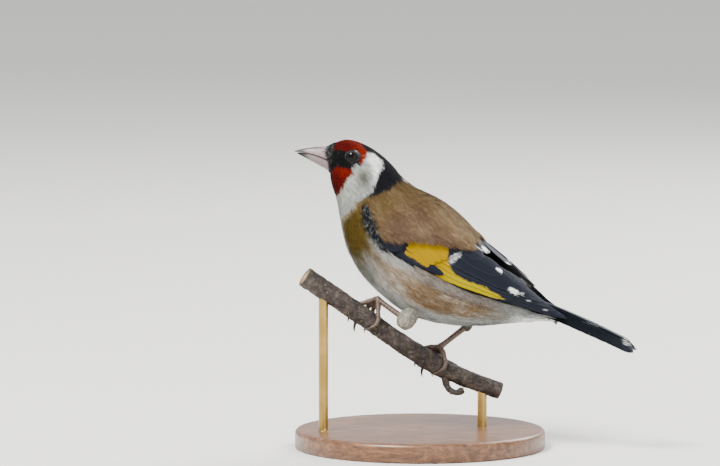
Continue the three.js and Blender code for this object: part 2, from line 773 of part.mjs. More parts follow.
// Thighs: a plump feathered cuff. The left one is drawn up and shows as a ball under the belly.
const thighs = {
  left: { hip: new THREE.Vector3(1.5, -7.6, 49.0), ball: 3.0, top: 4.4, cuff: 3.05 },
  right: { hip: new THREE.Vector3(16.5, 6.5, 44.5), ball: 1.35, top: 3.6, cuff: 1.4 },
};

function thigh(name) {
  const { hip, ball, top } = thighs[name];
  const axis = heels[name].clone().sub(hip);
  const length = axis.length();
  axis.normalize();
  const sides = 14;
  const steps = 12;
  const sideways = new THREE.Vector3().crossVectors(axis, side).normalize();
  const other = axis.clone().cross(sideways);
  const rings = [];
  for (let i = 0; i <= steps; i++) {
    const t = i / steps;
    const reach = mix(0, length + ball * 0.98, t);
    const end = Math.max(0, (reach - length) / ball);
    const neck = name === "left" ? 1 - 0.16 * Math.exp(-(((reach - length * 0.6) / 1.8) ** 2)) : 1;
    const radius = mix(top, ball, smooth(0, 0.8, reach / length)) * neck * Math.sqrt(1 - end ** 2);
    const ring = [];
    for (let k = 0; k < sides; k++) {
      const a = (2 * Math.PI * k) / sides;
      ring.push(hip.clone()
        .addScaledVector(axis, reach)
        .addScaledVector(sideways, radius * Math.cos(a))
        .addScaledVector(other, radius * Math.sin(a)));
    }
    rings.push(ring);
  }
  return lofted(rings);
}

// Stand: a turned wooden base and two brass rods under the branch.
const base = { radius: 40, height: 6, bevel: 0.8, sides: 56 };
const rod = { radius: 1.5, places: [-29.0, 18.5], sides: 16 };

function baseGeometry() {
  const { radius, height, bevel } = base;
  return new THREE.LatheGeometry([
    new THREE.Vector2(0, 0),
    new THREE.Vector2(radius, 0),
    new THREE.Vector2(radius, height - 2 * bevel),
    new THREE.Vector2(radius - bevel * 0.6, height - bevel * 0.6),
    new THREE.Vector2(radius - 2 * bevel, height),
    new THREE.Vector2(0, height),
  ], base.sides).rotateX(Math.PI / 2);
}

function rodSolid(x) {
  const { centre } = branchFrame(branchWhereX(x));
  const bottom = base.height + gap;
  const shaft = seamless(
    new THREE.CylinderGeometry(rod.radius, rod.radius, centre.z - bottom, rod.sides));
  shaft.rotateX(Math.PI / 2);
  shaft.translate(centre.x, centre.y, (centre.z + bottom) / 2);
  return solidOf(shaft).subtract(branch(gap));
}

// Assembly.
const billCut = lofted([0.02, 0.5].map((station) =>
  Array.from({ length: 24 }, (_, k) => bodyPoint(station, (2 * Math.PI * k) / 24, gap))));

let headForm = bodyLength(0, neckCut, 16, bodySides);
for (const hand of [-1, 1]) headForm = headForm.add(lid(hand)).subtract(eyeball(hand, gap));
addMesh("head", geometryOf(headForm), "face");
addMesh("bill_upper", geometryOf(
  mandible(bill.culmen, bill.tip, 1).subtract(nostril(-1)).subtract(nostril(1)).subtract(billCut)), "horn");
addMesh("bill_lower", geometryOf(mandible(bill.gonys, bill.lowerTip, -1).subtract(billCut)), "horn");
addMesh("eye_left", geometryOf(eyeball(-1)), "eye");
addMesh("eye_right", geometryOf(eyeball(1)), "eye");
addMesh("neck", geometryOf(bodyLength(neckCut + cutWidth, shoulderCut, 9, bodySides)), "neck");

let torso = bodyLength(shoulderCut + cutWidth, tailCut, 19, bodySides, { sink: sinkOf });
for (const hand of [-1, 1]) torso = torso.subtract(wingHollow(hand));
addMesh("torso", geometryOf(torso), "plumage");
addMesh("wing_left", geometryOf(wing(-1), vaneSliver), "quill");
addMesh("wing_right", geometryOf(wing(1), vaneSliver), "quill");
addMesh("tail", geometryOf(
  tailSolid().subtract(wingHollow(-1)).subtract(wingHollow(1)), 0.03), "quill");

const torsoGrown = bodyLength(shoulderCut, tailCut, 30, bodySides, { outset: () => gap, sink: sinkOf });
for (const name of ["left", "right"]) {
  addMesh("thigh_" + name, geometryOf(thigh(name).subtract(torsoGrown)), "plumage");
  addMesh("shank_" + name, geometryOf(shank(name)), "scute");
  addMesh("foot_" + name, geometryOf(footSolid(feet[name])), "scute");
}

addMesh("stand_branch", geometryOf(perch()), "bark");
addMesh("stand_base", baseGeometry(), "wood");
addMesh("stand_rod_front", geometryOf(rodSolid(rod.places[0])), "brass");
addMesh("stand_rod_rear", geometryOf(rodSolid(rod.places[1])), "brass");

export default parts;
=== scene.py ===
import bpy
import numpy as np
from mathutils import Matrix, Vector, noise


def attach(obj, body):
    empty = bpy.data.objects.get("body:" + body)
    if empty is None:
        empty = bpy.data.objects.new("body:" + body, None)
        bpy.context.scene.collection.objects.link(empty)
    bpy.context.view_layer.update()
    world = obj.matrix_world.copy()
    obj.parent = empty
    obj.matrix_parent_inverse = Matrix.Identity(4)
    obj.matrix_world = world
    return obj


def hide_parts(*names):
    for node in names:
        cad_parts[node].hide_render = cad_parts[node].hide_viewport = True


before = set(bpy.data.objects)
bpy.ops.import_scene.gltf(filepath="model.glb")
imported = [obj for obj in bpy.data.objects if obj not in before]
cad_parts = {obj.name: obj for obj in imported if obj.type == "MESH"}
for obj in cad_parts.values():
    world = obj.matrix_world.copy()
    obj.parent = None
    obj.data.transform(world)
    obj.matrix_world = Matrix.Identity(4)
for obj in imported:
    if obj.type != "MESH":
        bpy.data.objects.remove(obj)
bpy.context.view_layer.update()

# Base
# A round foot of walnut, turned on a lathe from one board.
# Its top edge is rounded over and the whole is wiped with satin varnish, so the grain shows.
MM = 0.001


def linear(code):
    """The linear colour of an sRGB hex value."""
    value = np.array([int(code[i:i + 2], 16) for i in (1, 3, 5)]) / 255
    light = np.where(value <= 0.04045, value / 12.92, ((value + 0.055) / 1.055) ** 2.4)
    return (*light, 1.0)


def node(tree, kind, inputs=None, stops=None, **settings):
    """Adds a node with its settings, its ramp's stops, and its inputs as values or as sockets."""
    made = tree.nodes.new("ShaderNode" + kind)
    for name, value in settings.items():
        setattr(made, name, value)
    if stops:
        ramp = made.color_ramp.elements
        while len(ramp) < len(stops):
            ramp.new(0.5)
        for stop, (place, code) in zip(ramp, stops):
            stop.position = place
            stop.color = linear(code)
    for name, value in (inputs or {}).items():
        if isinstance(value, bpy.types.NodeSocket):
            tree.links.new(value, made.inputs[name])
        else:
            made.inputs[name].default_value = value
    return made


def finish(name):
    """A new material with an empty node tree."""
    made = bpy.data.materials.new(name)
    made.use_nodes = True
    made.node_tree.nodes.clear()
    return made, made.node_tree


def piece(name, points, faces, material, tints=None, patches=None):
    """A mesh of points in millimetres. tints colour its points, and patches are its corners' places
    on the map OFBake."""
    mesh = bpy.data.meshes.new(name)
    faces = [np.asarray(group, dtype=np.int32) for group in faces if len(group)]
    corners = np.concatenate([group.ravel() for group in faces])
    counts = np.concatenate([np.full(len(group), group.shape[1]) for group in faces])
    mesh.vertices.add(len(points))
    mesh.vertices.foreach_set("co", (np.asarray(points) * MM).astype(np.float32).ravel())
    mesh.loops.add(len(corners))
    mesh.loops.foreach_set("vertex_index", corners)
    mesh.polygons.add(len(counts))
    mesh.polygons.foreach_set("loop_start", np.concatenate([[0], np.cumsum(counts)[:-1]]).astype(np.int32))
    mesh.polygons.foreach_set("use_smooth", np.ones(len(counts), dtype=bool))
    mesh.update(calc_edges=True)
    if tints is not None:
        layer = mesh.color_attributes.new("tint", "FLOAT_COLOR", "POINT")
        rgba = np.ones((len(points), 4), dtype=np.float32)
        rgba[:, :3] = tints
        layer.data.foreach_set("color", rgba.ravel())
    if patches is not None:
        layer = mesh.uv_layers.new(name="OFBake")
        layer.data.foreach_set("uv", np.asarray(patches, dtype=np.float32)[corners].ravel())
    mesh.materials.append(material)
    made = bpy.data.objects.new(name, mesh)
    bpy.context.scene.collection.objects.link(made)
    return made


def crossed(down, across):
    """Values of down repeated along rows, and values of across repeated along columns."""
    return np.meshgrid(down, across, indexing="ij")


def woven(rows, columns, closed=False):
    """Quads over rows of points. closed joins the end of each row to its start."""
    r, c = crossed(np.arange(rows - 1), np.arange(columns if closed else columns - 1))
    a, b = r * columns + c, r * columns + (c + 1) % columns
    return np.stack([a, b, b + columns, a + columns], -1).reshape(-1, 4)


def turned(profile, sides):
    """Points of a shape turned about the vertical, from its radii and heights."""
    a = np.linspace(0, 2 * np.pi, sides, endpoint=False)
    r, z = np.array(profile).T
    return np.stack([r[:, None] * np.cos(a), r[:, None] * np.sin(a), z[:, None] + 0 * a], -1).reshape(-1, 3)


base_radius, base_height, base_edge = 40.0, 6.0, 1.3
edge_turn = np.radians(np.linspace(0, 90, 9))
base_profile = [(0.01, 0), (base_radius - 0.5, 0), (base_radius, 0.5)]
base_profile += [(base_radius - base_edge * (1 - np.cos(a)), base_height - base_edge * (1 - np.sin(a)))
                 for a in edge_turn]
base_profile += [(base_radius * s, base_height) for s in (0.8, 0.5, 0.01)]
base_sides = 180

# Satin varnish on walnut: a soft shine over brown figure, with dark pores along the grain.
walnut, tree = finish("walnut_satin_varnish")
place = node(tree, "TexCoord").outputs["Object"]
grain_way = node(tree, "Mapping", {"Vector": place, "Scale": (60, 420, 420)}).outputs["Vector"]
figure = node(tree, "TexNoise", {"Vector": grain_way, "Scale": 1.6, "Detail": 5, "Distortion": 0.6})
pores = node(tree, "TexNoise", {"Vector": grain_way, "Scale": 9.0, "Detail": 3})
brown = node(tree, "ValToRGB", {"Fac": figure.outputs["Fac"]},
             stops=[(0.3, "#4a2e1c"), (0.5, "#6b4529"), (0.72, "#8a5f3c")])
dark = node(tree, "ValToRGB", {"Fac": pores.outputs["Fac"]}, stops=[(0.36, "#3a2417"), (0.46, "#ffffff")])
wood_tone = node(tree, "MixRGB", {"Fac": 0.55, "Color1": brown.outputs["Color"],
                                  "Color2": dark.outputs["Color"]}, blend_type="MULTIPLY")
relief = node(tree, "Bump", {"Height": pores.outputs["Fac"], "Strength": 0.12, "Distance": 0.0002})
shader = node(tree, "BsdfPrincipled", {
    "Base Color": wood_tone.outputs["Color"], "Roughness": 0.38, "IOR": 1.5,
    "Coat Weight": 0.25, "Coat Roughness": 0.2, "Normal": relief.outputs["Normal"]})
node(tree, "OutputMaterial", {"Surface": shader.outputs["BSDF"]})

stand_base = piece("base_turned", turned(base_profile, base_sides),
                   [woven(len(base_profile), base_sides, closed=True)], walnut)
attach(stand_base, "root")
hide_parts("stand_base")

# Branch
# A cut length of hazel about 6 mm thick, dried with its bark on.
# Both ends are sawn square. A short side shoot hangs below it, cut off above its third bud.


def share(low, high, x):
    """0 below low, 1 above high, and a smooth rise between."""
    t = np.clip((x - low) / (high - low), 0, 1)
    return t * t * (3 - 2 * t)


def mixed(a, b, t):
    """From a to b by the share t."""
    return a + (b - a) * t


def through(rows, at):
    """A smooth line through rows of values, read at shares of its length from 0 to 1."""
    rows, at = np.asarray(rows, float), np.clip(np.asarray(at, float), 0, 1)
    last = len(rows) - 1
    i = np.minimum(np.floor(at * last).astype(int), last - 1)
    w = (at * last - i)[..., None]
    before = np.where((i > 0)[..., None], rows[np.maximum(i - 1, 0)], 2 * rows[0] - rows[1])
    after = np.where((i + 2 <= last)[..., None], rows[np.minimum(i + 2, last)],
                     2 * rows[last] - rows[last - 1])
    p1, p2 = rows[i], rows[i + 1]
    t0, t1 = (p2 - before) / 2, (after - p1) / 2
    return p1 + t0 * w + (3 * (p2 - p1) - 2 * t0 - t1) * w ** 2 + (2 * (p1 - p2) + t0 + t1) * w ** 3


def unit(v):
    """Vectors in the same directions, all 1 long."""
    return v / np.maximum(np.linalg.norm(v, axis=-1, keepdims=True), 1e-9)


branch_points = [[-34.5, -14.2, 55.4], [-30.7, -12.5, 52.6], [-24.1, -9.6, 47.6], [-13.7, -5.0, 39.6],
                 [-5.9, -1.6, 33.6], [5.8, 3.5, 25.7], [15.6, 7.8, 20.8], [23.8, 11.4, 17.4]]
shoot_points = [[7.0, 3.6, 24.6], [7.6, 3.2, 21.2], [8.8, 2.9, 18.6], [11.2, 2.9, 17.5], [13.6, 3.2, 18.4]]


def branch_radius(t):
    """The branch thins to its lower end, and swells at an old knot."""
    return mixed(3.25, 2.7, t) + 0.35 * np.exp(-((t - 0.7) / 0.06) ** 2)


def branch_frame(t):
    """Centre, direction, upward normal and sideways direction of the branch at shares of its length."""
    t = np.asarray(t, float)
    along = unit(through(branch_points, t + 1e-4) - through(branch_points, t - 1e-4))
    up = np.zeros(along.shape)
    up[..., 2] = 1
    up = unit(up - along * along[..., 2:3])
    return through(branch_points, t), along, up, np.cross(along, up)


def rough(points, size, seed, octaves=3):
    """Lumpy noise from -1 to 1 at points, its lumps about size millimetres across."""
    shift = Vector((seed, seed * 0.7, seed * 1.3))
    return np.array([noise.fractal(Vector(p) / size + shift, 1.0, 2.0, octaves) for p in points])


def fans(rows, columns, first, sides=None):
    """Triangles that close both ends of a tube of points, to the point first and the one after it."""
    near = np.arange(sides or columns)
    closed = []
    for row, middle in ((0, first), (rows - 1, first + 1)):
        ring = row * columns
        closed.append(np.stack([ring + near, ring + (near + 1) % columns, np.full(len(near), middle)], -1))
    return closed


def branch_mesh():
    """Points and faces of the bark, and tints that are 1 where the wood is sawn."""
    rows, sides = 420, 100
    t, a = crossed(np.linspace(0, 1, rows), np.linspace(0, 2 * np.pi, sides, endpoint=False))
    centre, _, up, across = branch_frame(t)
    out = up * np.cos(a)[..., None] + across * np.sin(a)[..., None]
    skin = (centre + out * branch_radius(t)[..., None]).reshape(-1, 3)
    # fine bark lumps, long shallow ridges, and raised rings where last year's twigs were
    ridges = 0.06 * np.sin(a * 9 + 6 * np.sin(t * 9)) * np.sin(t * 40 + a * 2)
    rings = 0.16 * (np.exp(-((t - 0.66) / 0.006) ** 2) + np.exp(-((t - 0.7) / 0.008) ** 2)
                    + 0.7 * np.exp(-((t - 0.335) / 0.006) ** 2))
    lumps = 0.2 * rough(skin, 3.4, 3.1) + 0.13 * rough(skin * [1, 1, 0.8], 1.1, 8.4)
    lumps = lumps + 0.05 * rough(skin, 0.4, 2.2, 2)
    push = (ridges.ravel() + rings.ravel() + lumps) * np.clip(np.minimum(t, 1 - t).ravel() / 0.008, 0, 1)
    caps = [branch_frame(s)[0] for s in (0.0, 1.0)]
    points = np.concatenate([skin + out.reshape(-1, 3) * push[:, None], caps])
    sawn = np.zeros((len(points), 3))
    sawn[-2:] = 1
    return points, [woven(rows, sides, closed=True), *fans(rows, sides, rows * sides)], sawn


def bar(path, radius, sides=14):
    """A round bar along points, closed at both ends, with one radius for each point."""
    path, radius = np.asarray(path, float), np.asarray(radius, float)
    along = unit(np.gradient(path, axis=0))
    aside = np.zeros_like(path)
    lead = np.cross(along[0], [0.3, 0.5, 0.8])
    for i, way in enumerate(along):
        lead = lead - way * lead.dot(way)
        lead = lead / np.linalg.norm(lead)
        aside[i] = lead
    other = np.cross(along, aside)
    a = np.linspace(0, 2 * np.pi, sides, endpoint=False)[None, :, None]
    rings = path[:, None] + radius[:, None, None] * (aside[:, None] * np.cos(a) + other[:, None] * np.sin(a))
    points = np.concatenate([rings.reshape(-1, 3), path[:1], path[-1:]])
    rows = len(path)
    return points, [woven(rows, sides, closed=True), *fans(rows, sides, rows * sides)]


# Hazel bark: thin and dull, purplish grey-brown, cracked and flaking, with specks of yellow lichen.
hazel, tree = finish("hazel_bark")
place = node(tree, "TexCoord").outputs["Object"]
blotch = node(tree, "TexNoise", {"Vector": place, "Scale": 230, "Detail": 7, "Roughness": 0.7})
bark_tone = node(tree, "ValToRGB", {"Fac": blotch.outputs["Fac"]},
                 stops=[(0.34, "#130e0c"), (0.45, "#271f1b"), (0.55, "#3b312c"), (0.66, "#5a514b")])
# flakes of the outer skin about 0.5 mm wide
flakes = node(tree, "TexNoise", {"Vector": place, "Scale": 1500, "Detail": 3, "Roughness": 0.6})
flake_here = node(tree, "ValToRGB", {"Fac": flakes.outputs["Fac"]},
                  stops=[(0.56, "#000000"), (0.66, "#9a9a9a")])
flaked = node(tree, "MixRGB", {"Fac": flake_here.outputs["Color"], "Color1": bark_tone.outputs["Color"],
                               "Color2": linear("#6d635c")})
lichen = node(tree, "TexNoise", {"Vector": place, "Scale": 420, "Detail": 5, "Roughness": 0.7})
lichen_here = node(tree, "ValToRGB", {"Fac": lichen.outputs["Fac"]},
                   stops=[(0.57, "#000000"), (0.64, "#8a8a8a")])
greened = node(tree, "MixRGB", {"Fac": lichen_here.outputs["Color"], "Color1": flaked.outputs["Color"],
                                "Color2": linear("#6c6230")})
# pale breathing spots about 0.6 mm wide, 2.5 mm apart
spots = node(tree, "TexVoronoi", {"Vector": place, "Scale": 400, "Randomness": 1.0})
spot_here = node(tree, "ValToRGB", {"Fac": spots.outputs["Distance"]},
                 stops=[(0.12, "#8a8a8a"), (0.2, "#000000")])
spotted = node(tree, "MixRGB", {"Fac": spot_here.outputs["Color"], "Color1": greened.outputs["Color"],
                                "Color2": linear("#81776f")})
cut_wood = node(tree, "Attribute", attribute_name="tint")
ended = node(tree, "MixRGB", {"Fac": cut_wood.outputs["Fac"], "Color1": spotted.outputs["Color"],
                              "Color2": linear("#b3946a")})
relief = node(tree, "Bump", {"Height": flakes.outputs["Fac"], "Strength": 0.8, "Distance": 0.0004})
shader = node(tree, "BsdfPrincipled", {
    "Base Color": ended.outputs["Color"], "Roughness": 0.8, "IOR": 1.45, "Normal": relief.outputs["Normal"]})
node(tree, "OutputMaterial", {"Surface": shader.outputs["BSDF"]})

branch_skin, branch_faces, branch_sawn = branch_mesh()
branch = piece("branch_hazel", branch_skin, branch_faces, hazel, tints=branch_sawn)
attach(branch, "root")
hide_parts("stand_branch")

t = np.linspace(0, 1, 60)
shoot_line = through(shoot_points, t)
buds = 0.16 * sum(np.exp(-((t - b) / 0.03) ** 2) for b in (0.33, 0.62))
buds = buds + 0.35 * np.exp(-((t - 0.9) / 0.09) ** 2)
shoot_skin, shoot_faces = bar(shoot_line, 1.15 - 0.35 * t + buds, sides=24)
shoot_skin = shoot_skin + 0.05 * rough(shoot_skin, 0.9, 5.2)[:, None]
shoot = piece("branch_shoot", shoot_skin, shoot_faces, hazel, tints=np.zeros((len(shoot_skin), 3)))
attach(shoot, "root")
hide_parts("stand_branch")

# Rods
# Two drawn brass rods, 3 mm thick, pushed into drilled holes in the base and in the branch.
# They hold the branch at its slope over the base.
rod_radius, rod_places = 1.5, (-29.0, 18.5)

# Drawn brass, not lacquered: yellow metal with a soft shine, and fine dull lines along its length.
brass, tree = finish("brass_drawn")
place = node(tree, "TexCoord").outputs["Object"]
drawn_way = node(tree, "Mapping", {"Vector": place, "Scale": (5000, 5000, 60)}).outputs["Vector"]
lines = node(tree, "TexNoise", {"Vector": drawn_way, "Scale": 1.0, "Detail": 2})
dulled = node(tree, "MapRange", {"Value": lines.outputs["Fac"], "To Min": 0.22, "To Max": 0.42})
tarnish = node(tree, "TexNoise", {"Vector": place, "Scale": 120, "Detail": 3})
brass_tone = node(tree, "ValToRGB", {"Fac": tarnish.outputs["Fac"]},
                  stops=[(0.3, "#9a7d42"), (0.7, "#b8985a")])
shader = node(tree, "BsdfPrincipled", {
    "Base Color": brass_tone.outputs["Color"], "Metallic": 1.0, "Roughness": dulled.outputs["Result"]})
node(tree, "OutputMaterial", {"Surface": shader.outputs["BSDF"]})

shares = np.linspace(0, 1, 4001)
branch_line = through(branch_points, shares)
for label, x in zip(("front", "rear"), rod_places):
    top = branch_line[np.argmin(abs(branch_line[:, 0] - x))]
    heights = np.linspace(base_height - 1.0, top[2], 24)
    line = np.stack([0 * heights + top[0], 0 * heights + top[1], heights], -1)
    rod_skin, rod_faces = bar(line, np.full(len(line), rod_radius), sides=40)
    rod = piece("rod_brass_" + label, rod_skin, rod_faces, brass)
    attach(rod, "root")
    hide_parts("stand_rod_" + label)

# Body skin
# One skin over the whole body, from the base of the bill to the tail coverts, under the feathers.
# It lies inside the bird's outline by the depth of the coat, and dips where the folded wings lie.
# Each station is a section across the body: x and z on the back, x and z on the belly, half its width.
stations = np.array([
    [-28.7, 96.8, -29.1, 88.0, 4.1], [-26.9, 97.8, -28.8, 85.3, 5.7], [-23.4, 98.7, -28.1, 82.5, 7.3],
    [-18.4, 97.5, -27.3, 79.9, 8.4], [-13.2, 94.4, -26.7, 77.2, 9.0], [-9.0, 90.6, -26.2, 74.2, 9.5],
    [-5.2, 86.2, -25.7, 70.9, 10.4], [-0.6, 83.1, -24.8, 66.5, 12.0], [5.5, 80.4, -22.8, 61.0, 14.0],
    [11.0, 76.6, -18.8, 55.2, 15.3], [16.5, 71.4, -12.3, 48.5, 15.8], [22.0, 66.3, -2.6, 42.2, 15.2],
    [28.0, 61.4, 9.2, 39.4, 13.2], [34.0, 56.0, 21.0, 39.2, 10.6], [39.5, 50.8, 31.0, 40.3, 7.2],
    [45.0, 46.9, 41.0, 40.4, 5.3], [50.5, 44.2, 48.5, 38.6, 4.4]])
last_station = 16.0
fullness, head_turn, neck_pivot = 0.92, 12.0, -8.0
rump_sink, skin_closes, skin_end = 3.8, 13.2, 15.35


def rounded(c, power):
    """A power of c that keeps its sign, which makes a round section fuller or slimmer."""
    return np.sign(c) * np.abs(c) ** power


def turned_head(points, amount=1.0):
    """Points of the head turned a little to the bird's left, by a share of the whole turn."""
    a = np.radians(head_turn) * amount
    x, y = points[..., 0] - neck_pivot, points[..., 1]
    out = points.copy()
    out[..., 0] = neck_pivot + x * np.cos(a) - y * np.sin(a)
    out[..., 1] = x * np.sin(a) + y * np.cos(a)
    return out


def unturned_body(station, angle, outset=0.0, sink=0.0):
    """The outer form before the head turns. angle is in degrees: 0 back, 90 right side, 180 belly."""
    station, angle = np.broadcast_arrays(np.asarray(station, float), np.radians(np.asarray(angle, float)))
    row = through(stations, station / last_station)
    back = np.stack([row[..., 0], 0 * angle, row[..., 1]], -1)
    belly = np.stack([row[..., 2], 0 * angle, row[..., 3]], -1)
    axis = back - belly
    length = np.linalg.norm(axis, axis=-1)
    axis = axis / length[..., None]
    lift = np.broadcast_to(np.asarray(outset - sink, float), length.shape)
    out = np.broadcast_to(np.asarray(outset, float), length.shape)
    back = back + axis * lift[..., None]
    belly = belly - axis * out[..., None]
    reach = (length + 2 * out - np.broadcast_to(sink, length.shape)) / 2
    points = (back + belly) / 2 + axis * (reach * rounded(np.cos(angle), fullness))[..., None]
    points[..., 1] += (row[..., 4] + lift) * rounded(np.sin(angle), fullness)
    return points


def body(station, angle, outset=0.0, sink=0.0):
    """The outer form with the head turned. outset pushes it out and sink lowers the back."""
    points = unturned_body(station, angle, outset, sink)
    return turned_head(points, 1 - share(4, 8, np.broadcast_to(station, points.shape[:-1])))


def body_normal(station, angle, sink=0.0):
    """Outward directions on the body."""
    step = 0.02
    ahead = np.minimum(station + step, last_station)
    along = body(ahead, angle, 0, sink) - body(ahead - 2 * step, angle, 0, sink)
    about = body(station, angle + 1.2, 0, sink) - body(station, angle - 1.2, 0, sink)
    return unit(np.cross(along, about))


def sink_of(station):
    """How far the rump lies under the line of the back, where the wings fold over it."""
    return rump_sink * share(10.5, 13, station) * (1 - 0.68 * share(14, 15.5, station))


# The folded wing's lower and upper edge on the body, as station and angle, and where the shoulder
# and back feathers that hang over it end, as angle and station.
low_line = np.array([[7, 96], [8.5, 101], [9.2, 100], [10, 92], [11, 87], [12, 85], [13, 80], [14, 77],
                     [16, 76]])
cover_line = np.array([[0, 10.2], [20, 10.25], [28, 10.5], [36, 10.65], [49, 10.3], [58, 9.8], [68, 9.35],
                       [77, 8.95], [86, 8.7], [91, 8.55], [95, 8.25], [96, 7.95], [97, 7.4], [99, 6.6],
                       [104, 5.9]])


def bed_depth(station):
    """How deep the hollow for the folded wing is."""
    return mixed(2.4, 1.7, share(9, 15, station))


def high_edge(station):
    """The angle of the folded wing's upper edge."""
    return mixed(32, 26, share(8, 12.5, station)) + 20 * share(13, 14.5, station)


def crossing(station):
    """How many degrees the right wing reaches across the rump."""
    return 36 * share(9.6, 11.4, station) * (1 - share(13, 14.5, station))


def wing_angle(angle, station, hand):
    """The body angle for an angle on the wing."""
    if hand < 0:
        return -angle
    return angle - crossing(station) * np.clip((90 - angle) / 60, 0, 1.2)


def over_wing(station, angle, lead=0.0):
    """1 where the flight feathers lie bare over the body, 0 where body feathers cover it. It begins
    earlier along the body by lead stations."""
    high = high_edge(station)
    low = np.interp(station, low_line[:, 0], low_line[:, 1])
    covered = 0.0
    for own in (-angle, (angle + 1.5 * crossing(station)) / (1 + crossing(station) / 60)):
        inside = share(high - 13, high - 8, own) * (1 - share(low - 4, low + 2, own))
        behind = share(-0.1 - lead, 0.7 - lead, station - np.interp(own, cover_line[:, 0], cover_line[:, 1]))
        covered = np.maximum(covered, inside * behind)
    return covered


def coat_depth(station):
    """How deep the feathers lie: thin round the bill, thick on the body."""
    return mixed(0.35, 0.75, share(0.5, 4, station)) + 0.45 * share(4.5, 8, station)


def bed(station, angle):
    """The skin that the body feathers stand on, without the dip for the wings."""
    sink = sink_of(station)
    points = body(station, angle, 0, sink)
    normals = body_normal(station, angle, sink)
    points = points - normals * coat_depth(station)[..., None]
    # it closes in a round end under the root of the tail
    low = body(station, 0 * angle + 180, 0, sink)
    low = mixed(low, body(station, 0 * angle, 0, sink), 0.38)
    closing = np.clip((station - skin_closes) / (skin_end - skin_closes), 0, 1)
    return mixed(points, low, (0.99 * (1 - np.sqrt(1 - closing ** 2)))[..., None]), normals


def dressed(station, angle):
    """The bed, raised where feathers hang over the wing, so that their ends lie on top of it."""
    points, normals = bed(station, angle)
    rise = 1.25 * over_wing(station, angle, 0.75) * (1 - share(11.4, 12.4, station))
    rise = rise * share(14, 34, np.abs(angle))
    return points + normals * rise[..., None], normals


def inside_of(corners, x, z):
    """Distance in millimetres inside a side-view outline, negative outside."""
    a = np.array(corners, float)
    b = np.roll(a, -1, axis=0)
    p = np.stack([x, z], -1)[..., None, :]
    edge = b - a
    t = np.clip(((p - a) * edge).sum(-1) / (edge ** 2).sum(-1), 0, 1)
    away = np.linalg.norm(p - (a + edge * t[..., None]), axis=-1).min(-1)
    crosses = ((a[:, 1] > p[..., 1]) != (b[:, 1] > p[..., 1])) & (
        p[..., 0] < (b[:, 0] - a[:, 0]) * (p[..., 1] - a[:, 1]) / (b[:, 1] - a[:, 1] + 1e-12) + a[:, 0])
    return np.where(crosses.sum(-1) % 2 == 1, away, -away)


# Outlines of the face marks, x and z in side view before the head turns.
crown_red = [(-29.6, 96.6), (-28.6, 98.4), (-25.7, 99.6), (-23.0, 99.8), (-20.2, 99.3), (-18.9, 97.5),
             (-18.0, 96.2), (-16.8, 95.1), (-16.9, 94.2), (-17.7, 93.4), (-18.1, 91.8), (-18.8, 91.0),
             (-19.7, 92.2), (-20.0, 93.6), (-21.3, 94.9), (-23.3, 95.1), (-25.3, 95.6), (-27.8, 95.5)]
mask_black = [(-31, 98.2), (-28.4, 97.6), (-27.8, 95.6), (-25.3, 95.7), (-23.3, 95.3), (-21.3, 95.1),
              (-20.0, 93.8), (-19.6, 92.2), (-18.7, 91.2), (-19.6, 90.8), (-21.2, 90.2), (-21.8, 89.4),
              (-24.0, 89.2), (-26.6, 89.5), (-27.6, 88.6), (-28.9, 87.6), (-29.3, 84.5), (-31, 86)]
throat_red = [(-29.2, 88.2), (-26.6, 90.2), (-23.8, 89.7), (-21.8, 89.8), (-21.6, 88.0), (-23.5, 86.4),
              (-24.3, 84.6), (-25.5, 82.3), (-26.8, 81.0), (-28.6, 80.6), (-30, 84)]
nape_black = [(-19.2, 99.9), (-18.9, 97.5), (-18.0, 96.2), (-16.9, 95.1), (-14.8, 94.6), (-12.5, 92.6),
              (-11.6, 91.2), (-12.2, 89.8), (-13.5, 87.6), (-13.6, 85.6), (-14.3, 83.6), (-14.6, 81.9),
              (-18.4, 80.3), (-14.5, 80.6), (-11.9, 81.8), (-9.0, 83.0), (-6.7, 84.7), (-5.2, 85.6),
              (-2.5, 88.5), (-8, 96), (-14, 100)]
nape_white = [(-5.4, 85.3), (-4.9, 87.0), (-3.9, 86.7), (-3.1, 85.6), (-4.0, 85.0)]
head_white = [(-17.5, 94.9), (-14.8, 94.9), (-11.0, 91.6), (-12.0, 88.0), (-13.8, 82.6), (-18.1, 80.0),
              (-19.8, 79.4), (-21.7, 77.0), (-25.0, 73.8), (-27.5, 73.0), (-29.6, 80.5), (-26.8, 81.6),
              (-21.5, 90.4), (-19.6, 91.4), (-18.4, 92.0), (-17.8, 93.6)]

feather = {name: np.array(linear(code)[:3]) for name, code in {
    "back": "#59462e", "back_front": "#554428", "back_rose": "#533f31", "back_pale": "#7b674d",
    "breast": "#493a15", "breast_dark": "#34290a", "flank": "#705a40", "flank_dark": "#4b3620",
    "flank_pale": "#b0a592", "belly": "#a2a4a0", "belly_grey": "#6b6d69", "under_tail": "#80827f",
    "cheek": "#a2a59c", "white": "#f4f5f2", "smudge": "#4c493e", "slate": "#6f7786",
    "crimson": "#510704", "deep": "#370302", "orange": "#741804", "black": "#141418", "jet": "#0d0d0f",
    "grey": "#4b4f56", "rump": "#8c836f", "yellow": "#8a6c00", "lemon": "#958600", "yellow_deep": "#5a4200",
    "ink": "#14161b", "tail_ink": "#181b21",
}.items()}


def coloured(colours, amount, name):
    """Colours with a share of one feather colour laid over them."""
    return mixed(colours, feather[name], np.clip(amount, 0, 1)[..., None])


def layered(colours, layers):
    """Colours with layers over them, each a share and the name of a feather colour."""
    for amount, name in layers:
        colours = coloured(colours, amount, name)
    return colours


